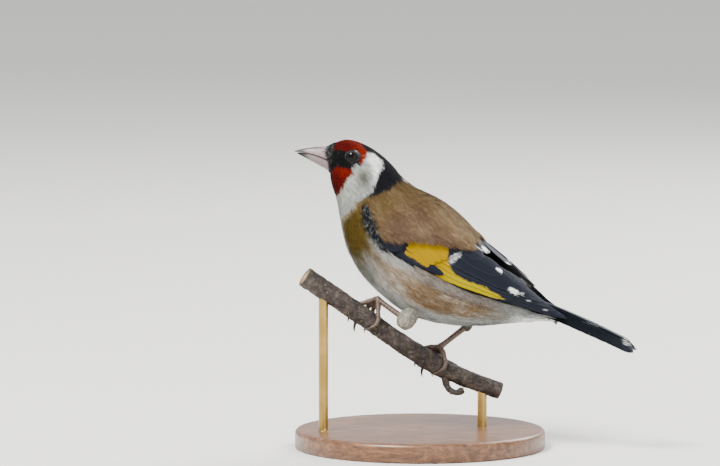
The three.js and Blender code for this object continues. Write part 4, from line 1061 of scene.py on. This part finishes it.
# Each tier of quills runs from its first, lowest one to its last. roots are at the stations and angles
# of its ends, tips lie along a line of them, and height is over the hollow, at the root and at the tip.
tiers = {
    "primaries": {
        "count": 9, "root": [(9.4, 86), (9.4, 60)],
        "tip": [(14.3, 73.5), (15.1, 71), (15.75, 65), (15.5, 58), (15.0, 46), (14.4, 36)],
        "height": [(0.35, 1.05), (0.3, 0.95)], "half": (1.2, 2.3), "tip_share": 0.3, "bow": 1, "blunt": 0.8},
    "secondaries": {
        "count": 6, "root": [(9.4, 86), (9.8, 56)], "tip": [(13.3, 69), (13.35, 60), (13.5, 50), (13.6, 38)],
        "height": [(1.2, 1.6), (1.05, 1.45)], "half": (2.6, 2.8), "tip_share": 0.2, "bow": -1},
    "tertials": {
        "count": 3, "root": [(9.8, 58), (9.9, 40)], "tip": [(13.1, 50), (12.35, 41), (11.4, 37)],
        "height": [(1.85, 2.2), (1.7, 2.05)], "half": (3.1, 2.8), "tip_share": 0.3},
    "primary_coverts": {
        "count": 5, "root": [(8.2, 99), (8.4, 91)], "tip": [(10.35, 88), (10.85, 82), (10.3, 84)],
        "height": [(1.35, 1.75), (1.2, 1.5)], "half": (1.5, 1.7), "tip_share": 0.35},
    "greater_coverts": {
        "count": 7, "root": [(8.6, 88), (9.2, 54)], "tip": [(10.3, 84), (10.7, 48)],
        "height": [(1.7, 2.0), (1.6, 1.95)], "half": (1.9, 2.2), "tip_share": 0.4},
    "lesser_coverts": {
        "count": 5, "root": [(7.3, 99), (7.8, 90)], "tip": [(9.0, 101), (9.2, 90)],
        "height": [(2.0, 2.2), (1.9, 2.1)], "half": (1.7, 1.9), "tip_share": 0.4},
}
wing_columns = 21
# The yellow bar's outline on the wing, as station and angle. It ends behind in three steps.
yellow_bar = [(8.7, 84), (9.0, 90), (9.4, 91.8), (9.68, 88.8), (10.1, 87), (10.42, 85.6), (10.57, 88.6),
              (10.82, 87.2), (11.51, 85.6), (12.16, 84.4), (12.7, 82.2), (13.05, 79.6), (12.72, 77),
              (12.75, 75.2), (12.3, 74.2), (12.22, 72.2), (11.52, 74.8), (10.99, 74.6), (10.72, 70.8),
              (10.49, 66), (10.25, 58), (9.78, 52), (9.2, 56), (8.8, 70)]
# White marks on both wings, and those that only the right one's upper edge shows: station, angle,
# half their length in stations, half their width in degrees, and how white they are.
wing_marks = {
    "both": [(10.6, 60, 0.12, 9.0, 0.35), (12.23, 39.2, 0.17, 3.0, 1.0), (13.10, 58.2, 0.24, 5.0, 1.0),
             (13.42, 52.8, 0.10, 3.4, 0.5), (13.81, 60.0, 0.08, 2.8, 0.35), (14.63, 66.5, 0.12, 5.0, 0.3)],
    "right": [(11.2, 22.6, 0.18, 3.0, 0.9), (12.27, 27.0, 0.16, 4.0, 0.9), (13.3, 25.0, 0.3, 2.0, 0.6)],
}


def wing_colours(tier, hand, station, angle, lanes, wild):
    """Colours of a quill's points from their places on the wing."""
    corners = np.array(yellow_bar) * (station_size, degree_size)
    inside = inside_of(corners, station * station_size + wild, angle * degree_size + 0.6 * wild)
    yellow = share(-0.12, 0.12, inside) * (tier not in ("primary_coverts", "lesser_coverts", "tertials"))
    streaks = share(0.45, 0.9, streaky(station, angle, 0.4, 1.6, 21))
    edge = share(0.88, 1.0, np.abs(lanes))
    bar_edge = edge * (lanes * hand > 0) * (tier != "greater_coverts")
    layers = [
        (yellow, "yellow"),
        (yellow * share(10.3, 11.4, station), "lemon"),
        (0.12 * yellow * streaks, "yellow_deep"),
        (0.75 * yellow * bar_edge, "yellow_deep"),
        (0.22 * (1 - yellow) * edge, "grey"),
    ]
    for at, turn, long, wide, amount in wing_marks["both"] + (wing_marks["right"] if hand > 0 else []):
        away = np.hypot((station - at + 0.08 * wild) / long, (angle - turn) / wide)
        # the rear edge of a mark is notched where the shaft runs out
        notch = 0.5 * np.exp(-((angle - turn) / (0.3 * wide)) ** 2) * (station > at)
        layers.append((amount * (1 - share(0.7, 1.1, away + notch + 1.5 * wild)), "white"))
    if hand < 0:
        # a pale line along the upper edge of the tertials
        line = np.exp(-((angle - 28.5) / 0.5) ** 2) * share(10.6, 10.8, station)
        layers.append((0.8 * line * (1 - share(11.4, 11.7, station)), "white"))
    return layered(np.broadcast_to(feather["ink"], (len(station), 3)), layers)


for hand, label in ((-1, "left"), (1, "right")):
    parts = []
    for number, (name, row) in enumerate(tiers.items()):
        for order in range(row["count"]):
            step = order / (row["count"] - 1)
            (u0, a0), (u1, a1) = [through(row[end], step) for end in ("root", "tip")]
            h0, h1 = [mixed(*pair, step) for pair in row["height"]]
            t = np.linspace(0, 1, 64)
            station = mixed(u0, u1, t)
            angle = mixed(a0, a1, t) + row.get("bow", 0) * np.sin(np.pi * t)
            # the right wing's innermost quills reach further over the back, and lie closer to it
            across = (hand > 0) * (name == "tertials")
            angle = angle - across * (5 + 9 * step)
            # the roots lie deep under the feathers in front of them
            buried = 1.5 * (1 - share(0.0, 0.42, t)) * (name not in ("primaries", "secondaries"))
            centre, up = wing_point(station, angle, mixed(h0, h1, t) - buried - 0.9 * across * step, hand)
            half = leaf(t, mixed(*row["half"], step), row["tip_share"], blunt=row.get("blunt", 0.5))
            points, groups, lanes, reach = vane(centre, up, half, hug=13.0, split=0.10, columns=wing_columns)
            # each point's own place on the wing gives its colour
            per_degree = np.linalg.norm(body(station, wing_angle(angle + 1, station, hand))
                                        - body(station, wing_angle(angle, station, hand)), axis=1)
            shift = np.repeat(half / np.maximum(per_degree, 0.05), wing_columns) * lanes
            own_angle = np.repeat(angle, wing_columns) + shift * hand
            wild = 0.12 * chance.standard_normal(len(lanes))
            tone = wing_colours(name, hand, np.repeat(station, wing_columns), own_angle, lanes, wild)
            lane = (order + 0.5 + 0.42 * lanes) / row["count"]
            where = np.stack([(number + 0.05 + 0.9 * reach) / len(tiers), lane], -1)
            parts.append((points, groups, *both_faces(tone, 0.02 + 0.96 * where, lanes, reach)))
    points, groups, tones, *layers = joined(parts)
    bright = (tones[:, 2] < 0.4 * tones[:, 0]) & (tones[:, 0] > 0.03)
    for kind, held in (("black", False), ("yellow", True)):
        quill_points, faces, tone, where, lanes, reach = only(bright, held, points, groups, tones, *layers)
        wing = piece("wing_" + kind + "_" + label, quill_points, faces, quills[kind], tone, where)
        barb_map(wing, lanes, reach, 26.0)
        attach(wing, "root")
        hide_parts("wing_" + label)

# Bill
# Two halves of horn that meet along the line of the mouth, drawn out to a fine point.
# Ivory with a pink cast where blood shows through near the base, dark along the ridge and at the tip, with
# painted shade along the line of the mouth and over the lower half.
bill_base, bill_tips = -29.3, {"upper": -40.2, "lower": -39.3}
bill_edges = {"upper": (96.3, 96.0, 94.9), "lower": (88.5, 91.3, 94.0)}
bill_mouth, bill_halves = (91.9, 93.9, 94.5), (3.4, 1.95, 0.22)


def bend(line, t):
    """A smooth line through its base, middle and tip values."""
    return (1 - t) * (1 - 2 * t) * line[0] + 4 * t * (1 - t) * line[1] + t * (2 * t - 1) * line[2]


# Horn: smooth, a little glossy and slightly see-through at the edges, with faint lines lengthwise.
horn, tree = finish("bill_horn")
tint = node(tree, "Attribute", attribute_name="tint").outputs["Color"]
place = node(tree, "TexCoord").outputs["Object"]
stain = node(tree, "TexNoise", {"Vector": place, "Scale": 900, "Detail": 4})
depth = node(tree, "MapRange", {"Value": stain.outputs["Fac"], "To Min": 0.86, "To Max": 1.1})
horn_tone = node(tree, "MixRGB", {"Fac": 1.0, "Color1": tint, "Color2": depth.outputs["Result"]},
                 blend_type="MULTIPLY")
growth_way = node(tree, "Mapping", {"Vector": place, "Scale": (250, 2600, 2600)}).outputs["Vector"]
growth = node(tree, "TexNoise", {"Vector": growth_way, "Scale": 1.0, "Detail": 2})
relief = node(tree, "Bump", {"Height": growth.outputs["Fac"], "Strength": 0.25, "Distance": 0.0002})
shader = node(tree, "BsdfPrincipled", {
    "Base Color": horn_tone.outputs["Color"], "Roughness": 0.4, "IOR": 1.54, "Specular IOR Level": 0.25,
    "Normal": relief.outputs["Normal"], "Subsurface Weight": 0.05, "Subsurface Scale": 0.0006})
node(tree, "OutputMaterial", {"Surface": shader.outputs["BSDF"]})

# the colour named ridge is painted shade along the line of the mouth, where the halves meet
ivory, pink, dusk, ridge = [np.array(linear(code)[:3])
                            for code in ("#908282", "#8b6e6a", "#1a1718", "#3a3332")]
rows, arcs = 70, 40
for half_name, hand in (("upper", 1), ("lower", -1)):
    t, a = crossed(np.linspace(-0.06, 1, rows), np.linspace(0, np.pi, arcs + 1))
    inner = np.clip(t, 0, 1)
    mouth = bend(bill_mouth, inner) + hand * 0.12
    height = np.maximum(0.1, hand * (bend(bill_edges[half_name], inner) - mouth)) * hand
    half = np.maximum(bill_halves[2], bend(bill_halves, inner)) * (1 if hand > 0 else 0.92)
    # the cutting edges pinch in a little, and the ridge is a soft keel
    side_way, up_way = np.cos(a), rounded(np.sin(a), 0.85)
    pinch = 1 - 0.06 * np.exp(-((np.sin(a) - 0.12) / 0.12) ** 2)
    points = np.stack([mixed(bill_base, bill_tips[half_name], t), half * side_way * pinch,
                       mouth + height * up_way], -1)
    # nostrils: small pits near the base
    if hand > 0:
        pit = np.hypot((points[..., 0] - bill_base + 1.5) / 1.5, (points[..., 2] - 94.6) / 0.8)
        points[..., 1] -= np.sign(points[..., 1]) * 0.35 * np.exp(-(pit / 0.45) ** 2)
    tone = mixed(ivory, pink, (0.5 * np.exp(-((t - 0.1) / 0.35) ** 2) * np.abs(side_way))[..., None])
    # the upper half darkens along its ridge; painted shade: the lower half is darker all over, and darkens
    # along its underside towards the tip
    keel = share(0.7, 0.95, np.sin(a)) * (share(-0.1, 0.5, t) if hand > 0 else 0.6 * share(0.2, 0.9, t))
    tone = tone * (1 if hand > 0 else 0.74)
    tone = mixed(tone, dusk, np.clip(share(0.55, 0.86, t) + 0.9 * keel, 0, 1)[..., None])
    # painted shade: a thin dark line in the crease where the two halves meet
    tone = mixed(tone, ridge, (0.75 * np.exp(-(np.sin(a) / 0.06) ** 2))[..., None])
    # a flat face closes each half along the line of the mouth
    start = np.arange(rows - 1) * (arcs + 1)
    flat = np.stack([start, start + arcs + 1, start + 2 * arcs + 1, start + arcs], -1)
    horn_half = piece("bill_" + half_name + "_horn", turned_head(points).reshape(-1, 3),
                      [woven(rows, arcs + 1), flat], horn, tints=tone.reshape(-1, 3))
    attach(horn_half, "root")
    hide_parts("bill_" + half_name)

# Short stiff bristles lie forward over the base of the bill and hide the nostrils.


def bill_surface(reach, angle):
    """Points and normals on the horn: reach from 0 at the base, angle from 0 on the ridge to 180 below."""
    inner, behind, up_part = np.clip(reach, 0, 1), np.clip(-reach, 0, 0.3), np.abs(angle) <= 90
    a = np.radians(np.where(up_part, 90 - np.abs(angle), np.abs(angle) - 90))
    way = np.where(up_part, 1.0, -1.0)
    mouth = bend(bill_mouth, inner)
    edge = np.where(up_part, bend(bill_edges["upper"], inner), bend(bill_edges["lower"], inner))
    # behind the horn it widens into the face
    edge = edge + np.where(up_part, 6.0, -12.0) * behind
    half = np.maximum(bill_halves[2], bend(bill_halves, inner)) + 9.0 * behind
    x = mixed(bill_base, bill_tips["upper"], reach)
    y = np.sign(angle) * half * np.cos(a)
    z = mouth + np.abs(edge - mouth) * way * rounded(np.sin(a), 0.85)
    out = unit(np.stack([0 * x - 0.12, np.sign(angle) * np.cos(a), way * np.sin(a) + 0 * x], -1))
    return turned_head(np.stack([x, y, z], -1)), turned_head(out + [neck_pivot, 0, 0]) - [neck_pivot, 0, 0]


bristle_count = 1500
around = chance.uniform(2, 178, bristle_count) * np.where(chance.random(bristle_count) < 0.5, -1, 1)
start = chance.uniform(-0.2, -0.02, bristle_count)
# longest beside the nostrils, short along the lower half, and some of them grey at the tip
beside = np.exp(-((np.abs(around) - 60) / 25) ** 2)
long = chance.uniform(0.5, 1.35, bristle_count) * mixed(1.2, 2.6, beside)
long = long * mixed(1, 0.7, share(90, 120, np.abs(around)))
jet = np.broadcast_to(feather["jet"], (bristle_count, 3))
tips = np.where(chance.random((bristle_count, 1)) < 0.35, feather["belly_grey"], jet)
cloth = feathers(start, around, bill_surface, 0.02 + 0.01 * np.stack([start, around / 180], -1), long, 0.09,
                 np.full(bristle_count, 0.35), 3, 16.0, 0 * start, jet, tips)
bristles = piece("coat_bristles", *cloth[:2], plume, *cloth[2:])
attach(bristles, "root")
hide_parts("head")

# Eyes
# Glass eyes, nearly all pupil with a very dark brown iris, set in a narrow ring of bare grey skin.
# Each looks a little forward and stands slightly proud of the face.


def body_at(x, z):
    """Station and angle where a line across the unturned body at x and z leaves it."""
    low, high = 0.0, last_station
    for _ in range(40):
        middle = (low + high) / 2
        bx, bz, vx, vz, _ = through(stations, middle / last_station)
        if (bx - vx) * (z - vz) - (bz - vz) * (x - vx) < 0:
            low = middle
        else:
            high = middle
    bx, bz, vx, vz, half = through(stations, low / last_station)
    reach = np.hypot(bx - vx, bz - vz) / 2
    height = ((x - (bx + vx) / 2) * (bx - vx) + (z - (bz + vz) / 2) * (bz - vz)) / (2 * reach)
    return low, np.arccos(rounded(height / reach, 1 / fullness)), half


_, eye_angle, eye_half = body_at(*eye_place)
eye_across = eye_half * rounded(np.sin(eye_angle), fullness)

# Glass over dark paint: black and wet-looking, with a faint brown ring that shows only in strong light.
glass, tree = finish("eye_glass")
tint = node(tree, "Attribute", attribute_name="tint").outputs["Color"]
place = node(tree, "TexCoord").outputs["Object"]
fibres = node(tree, "TexNoise", {"Vector": place, "Scale": 2500, "Detail": 2})
depth = node(tree, "MapRange", {"Value": fibres.outputs["Fac"], "To Min": 0.7, "To Max": 1.2})
iris = node(tree, "MixRGB", {"Fac": 1.0, "Color1": tint, "Color2": depth.outputs["Result"]},
            blend_type="MULTIPLY")
shader = node(tree, "BsdfPrincipled", {
    "Base Color": iris.outputs["Color"], "Roughness": 0.03, "IOR": 1.4, "Specular IOR Level": 0.2})
node(tree, "OutputMaterial", {"Surface": shader.outputs["BSDF"]})

# Bare skin round the eye: dull grey, finely pebbled.
rim_skin, tree = finish("eyelid_skin")
place = node(tree, "TexCoord").outputs["Object"]
pebbles = node(tree, "TexVoronoi", {"Vector": place, "Scale": 4500})
rim_tone = node(tree, "ValToRGB", {"Fac": pebbles.outputs["Distance"]},
                stops=[(0.1, "#36383b"), (0.7, "#1a1b1d")])
relief = node(tree, "Bump", {"Height": pebbles.outputs["Distance"], "Strength": 0.5, "Distance": 0.0001})
shader = node(tree, "BsdfPrincipled", {
    "Base Color": rim_tone.outputs["Color"], "Roughness": 0.6, "IOR": 1.45, "Specular IOR Level": 0.1,
    "Normal": relief.outputs["Normal"]})
node(tree, "OutputMaterial", {"Surface": shader.outputs["BSDF"]})

pupil_black, iris_brown = [np.array(linear(code)[:3]) for code in ("#050505", "#140c07")]
# the ring's section from the glass outwards: its radius, and its height over the glass
lid_section = [(1.66, 0.01), (1.68, 0.1), (1.74, 0.16), (1.82, 0.16), (1.92, 0.1), (2.1, 0.07), (2.3, 0.03),
               (2.5, -0.4)]
for hand, label in ((-1, "left"), (1, "right")):
    centre = np.array([eye_place[0], hand * (eye_across + eye_proud - eye_radius), eye_place[1]])
    forward = np.radians(8)
    axis = unit(np.array([-np.sin(forward), hand * np.cos(forward), 0.05]))
    level = unit(np.cross([0, 0, 1], axis))
    upright = np.cross(axis, level)
    t, a = crossed(np.radians(np.linspace(0.5, 179.5, 60)), np.radians(np.arange(0, 360, 5)))
    ball = centre + eye_radius * (axis * np.cos(t)[..., None] + np.sin(t)[..., None]
                                  * (level * np.cos(a)[..., None] + upright * np.sin(a)[..., None]))
    tone = mixed(pupil_black, iris_brown, share(1.15, 1.3, eye_radius * np.sin(t))[..., None])
    eye = piece("eye_glass_" + label, turned_head(ball).reshape(-1, 3), [woven(60, 72, closed=True)], glass,
                tints=tone.reshape(-1, 3))
    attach(eye, "root")
    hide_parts("eye_" + label)
    # lids: a narrow rounded rim that rises from the face, a little oval, with a corner before and behind
    a = np.radians(np.arange(0, 360, 3))
    corner = 1 + 0.1 * np.abs(np.cos(a)) ** 6
    rings = []
    for radius, height in lid_section:
        wide, tall = radius * corner * np.cos(a) * 1.03, radius * corner * np.sin(a) * 0.97
        over = np.sqrt(eye_radius ** 2 - min(radius, 2.4) ** 2)
        ripple = 0.025 * np.sin(a * 26) * (radius > 1.75)
        rings.append(centre + axis * (over + height + ripple)[:, None]
                     + level * wide[:, None] + upright * tall[:, None])
    lid = piece("eyelids_" + label, turned_head(np.array(rings)).reshape(-1, 3),
                [woven(len(lid_section), len(a), closed=True)], rim_skin)
    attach(lid, "root")
    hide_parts("head")

# Legs and feet
# Thin bare shanks and four toes that grip the bark. The three front toes go over its far side, and the
# hind toe comes round the near one. Skin in overlapping scutes, dark flesh-brown, with horny claws.
toe_radius, shank_radius = 0.9, 0.9
feet = {"left": {"x": -16.8, "height": 7.1}, "right": {"x": 3.2, "height": 5.4}}
# Each toe drops from the joint to the bark within its reach and follows it to its end, in degrees round
# the branch. shift is its place along the branch, claw how far it turns, stands off and leans.
toes = {
    "hind": {"shift": (0, 2.5, 2.7), "end": 92, "reach": 62, "way": 1, "claw": (62, 0.5, -1.8)},
    "inner": {"shift": (0, -2.3, -2.6), "end": 110, "reach": 45, "way": -1, "claw": (42, 1.0, 0.4)},
    "middle": {"shift": (0, -0.4, -0.6), "end": 128, "reach": 55, "way": -1, "claw": (44, 1.9, 0.8)},
    "outer": {"shift": (0, 1.7, 2.0), "end": 105, "reach": 55, "way": -1, "claw": (42, 1.0, 0.6)},
}
branch_length = np.linalg.norm(np.diff(branch_line, axis=0), axis=1).sum()

# Scaly leg skin: dry, satin, darker in the grooves between scutes.
scutes, tree = finish("leg_scutes")
tint = node(tree, "Attribute", attribute_name="tint").outputs["Color"]
place = node(tree, "TexCoord").outputs["Object"]
scales = node(tree, "TexVoronoi", {"Vector": place, "Scale": 2400})
depth = node(tree, "MapRange", {"Value": scales.outputs["Distance"], "From Max": 0.8, "To Min": 1.1,
                                "To Max": 0.75})
leg_tone = node(tree, "MixRGB", {"Fac": 1.0, "Color1": tint, "Color2": depth.outputs["Result"]},
                blend_type="MULTIPLY")
relief = node(tree, "Bump", {"Height": scales.outputs["Distance"], "Strength": 0.3, "Distance": 0.0001},
              invert=True)
shader = node(tree, "BsdfPrincipled", {
    "Base Color": leg_tone.outputs["Color"], "Roughness": 0.5, "IOR": 1.5,
    "Normal": relief.outputs["Normal"]})
node(tree, "OutputMaterial", {"Surface": shader.outputs["BSDF"]})

# Claw horn: dark brown, harder and shinier than the leg skin.
claw_horn, tree = finish("claw_horn")
place = node(tree, "TexCoord").outputs["Object"]
stain = node(tree, "TexNoise", {"Vector": place, "Scale": 1400, "Detail": 3})
claw_tone = node(tree, "ValToRGB", {"Fac": stain.outputs["Fac"]}, stops=[(0.3, "#2b211c"), (0.7, "#57453a")])
shader = node(tree, "BsdfPrincipled", {
    "Base Color": claw_tone.outputs["Color"], "Roughness": 0.3, "IOR": 1.54})
node(tree, "OutputMaterial", {"Surface": shader.outputs["BSDF"]})

flesh, groove = [np.array(linear(code)[:3]) for code in ("#5b4638", "#251b16")]


def scaled(s, spacing):
    """Overlapping scutes along a length: 0 in the groove, rising to 1 at each scute's lower edge."""
    return (s / spacing) % 1.0


def ringed(tone, sides):
    """The tints of a bar, from one for each point of its path."""
    return np.concatenate([np.repeat(tone, sides, axis=0), tone[:1], tone[-1:]])


def bark_point(t0, shift, turn, height, way):
    """A point beside the bark: a way round it and a shift along it, at a height over the branch's axis."""
    centre, _, up, across = branch_frame(t0 + np.asarray(shift) / branch_length)
    a = np.radians(way * np.asarray(turn, float))
    return centre + up * (height * np.cos(a))[..., None] + across * (height * np.sin(a))[..., None]


def toe_lift(t0, shift):
    """How far a toe's middle lies from the branch's axis where it follows the bark."""
    return branch_radius(t0 + np.asarray(shift) / branch_length) + toe_radius + 0.15


def toe_line(t0, toe, joint_height):
    """The middle line of a toe, from the joint down to the bark and round it."""
    turn = np.linspace(0, toe["end"], 60)
    down = np.clip(turn / toe["reach"], 0, 1)
    round_it = np.clip((turn - toe["reach"]) / (toe["end"] - toe["reach"]), 0, 1)
    first, second, third = toe["shift"]
    shift = np.where(turn < toe["reach"], mixed(first, second, down), mixed(second, third, round_it))
    height = mixed(joint_height, toe_lift(t0, shift), np.sin(down * np.pi / 2) ** 1.2)
    return bark_point(t0, shift, turn, height, toe["way"])


for label, foot in feet.items():
    t0 = shares[np.argmin(abs(branch_line[:, 0] - foot["x"]))]
    joint = bark_point(t0, 0, 0, np.array(foot["height"]), 1)
    parts, claws = [], []
    for toe in toes.values():
        path = toe_line(t0, toe, foot["height"])
        run = np.concatenate([[0], np.cumsum(np.linalg.norm(np.diff(path, axis=0), axis=1))])
        s = np.linspace(0, 1, 110)
        path = np.stack([np.interp(s * run[-1], run, path[:, i]) for i in range(3)], -1)
        knuckles = 1 + 0.1 * np.cos(2 * np.pi * 3 * s)
        step = scaled(s * run[-1], 0.8)
        radius = mixed(toe_radius, toe_radius * 0.75, s) * knuckles * (0.91 + 0.11 * step)
        points, groups = bar(path, radius, sides=20)
        tone = mixed(groove, flesh, np.clip(step * 2.2, 0, 1)[:, None]) * mixed(1.1, 0.9, s)[:, None]
        parts.append((points, groups, ringed(tone, 20)))
        # the claw goes on round the bark, stands off it and hooks in again
        turn, hook, lean = toe["claw"]
        last, end = toe["shift"][2], toe["end"]
        lift = toe_lift(t0, last)
        start, knee, point = [bark_point(t0, last + lean * at, end + turn * at, lift + up, toe["way"])
                              for at, up in ((0.0, 0.0), (0.5, hook), (1.0, hook - 0.45))]
        start = mixed(start, path[-6], 0.5)
        c = np.linspace(0, 1, 30)
        claws.append(bar(curve(start, knee, point, c), mixed(toe_radius * 0.6, 0.07, c ** 1.2), sides=14))
    # shank: from the toes' joint up to the feathered heel
    heel = heels[label]
    along = unit(heel - joint)
    start, end_point = joint - along * 0.2, heel - along * 0.3
    s = np.linspace(0, 1, 150)
    length = np.linalg.norm(end_point - start)
    step = scaled(s * length, 1.25)
    radius = shank_radius * (1 + 0.3 * np.exp(-(s / 0.14) ** 2) + 0.16 * s ** 4) * (0.95 + 0.06 * step)
    points, groups = bar(start + s[:, None] * (end_point - start), radius, sides=22)
    tone = mixed(groove, flesh, np.clip(step * 2.6, 0, 1)[:, None])
    shank = piece("shank_" + label + "_scuted", points, groups, scutes, tints=ringed(tone, 22))
    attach(shank, "root")
    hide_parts("shank_" + label)
    points, groups, tone = joined(parts)
    toes_skin = piece("foot_" + label + "_toes", points, groups, scutes, tints=tone)
    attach(toes_skin, "root")
    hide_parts("foot_" + label)
    hooks = piece("foot_" + label + "_claws", *joined(claws), claw_horn)
    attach(hooks, "root")
    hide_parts("foot_" + label)

# Floor, light and camera
# A wide pale floor of matt paper under the stand, a large soft light above, a softer fill and one behind.
# The camera stands 1.5 m off with a long lens, a little above the bird.
paper, tree = finish("paper_matt")
place = node(tree, "TexCoord").outputs["Object"]
pulp = node(tree, "TexNoise", {"Vector": place, "Scale": 900, "Detail": 3})
paper_tone = node(tree, "ValToRGB", {"Fac": pulp.outputs["Fac"]}, stops=[(0.3, "#dcdad5"), (0.7, "#e2e0db")])
shader = node(tree, "BsdfPrincipled", {"Base Color": paper_tone.outputs["Color"], "Roughness": 0.9})
node(tree, "OutputMaterial", {"Surface": shader.outputs["BSDF"]})

floor_sides, floor_radii = 96, (0.01, 300.0, 1200.0, 9000.0)
floor_points = turned([(radius, 0.0) for radius in floor_radii], floor_sides)
floor_faces = [woven(len(floor_radii), floor_sides, closed=True)[:, ::-1]]
floor = piece("floor_paper", floor_points, floor_faces, paper)

camera_turn, camera_rise, camera_reach = np.radians(12), np.radians(5), 1500.0
aim = np.array([-20.02, 1.85, 68.24])
back_way = np.array([np.sin(camera_turn) * np.cos(camera_rise), -np.cos(camera_turn) * np.cos(camera_rise),
                     np.sin(camera_rise)])
lens = bpy.data.cameras.new("camera")
lens.sensor_fit = "HORIZONTAL"
lens.sensor_width = 36.0
lens.lens = 234.4
lens.clip_end = 20.0
camera = bpy.data.objects.new("camera", lens)
camera.location = Vector((aim + back_way * camera_reach) * MM)
camera.rotation_euler = (Vector(aim * MM) - camera.location).to_track_quat("-Z", "Y").to_euler()
bpy.context.scene.collection.objects.link(camera)
bpy.context.scene.camera = camera

for label, offset, size, power in (
        ("key", (-0.45, -0.75, 1.25), 0.5, 50.0), ("fill", (0.9, -0.9, 0.35), 1.1, 9.0),
        ("rim", (0.5, 0.9, 0.9), 0.8, 24.0)):
    lamp = bpy.data.lights.new("light_" + label, "AREA")
    lamp.size = size
    lamp.energy = power
    placed = bpy.data.objects.new("light_" + label, lamp)
    placed.location = Vector(offset)
    placed.rotation_euler = (Vector((0, 0, 0.07)) - placed.location).to_track_quat("-Z", "Y").to_euler()
    bpy.context.scene.collection.objects.link(placed)

world = bpy.data.worlds.new("studio")
world.use_nodes = True
world.node_tree.nodes["Background"].inputs["Color"].default_value = linear("#f2f4f6")
world.node_tree.nodes["Background"].inputs["Strength"].default_value = 1.05
bpy.context.scene.world = world
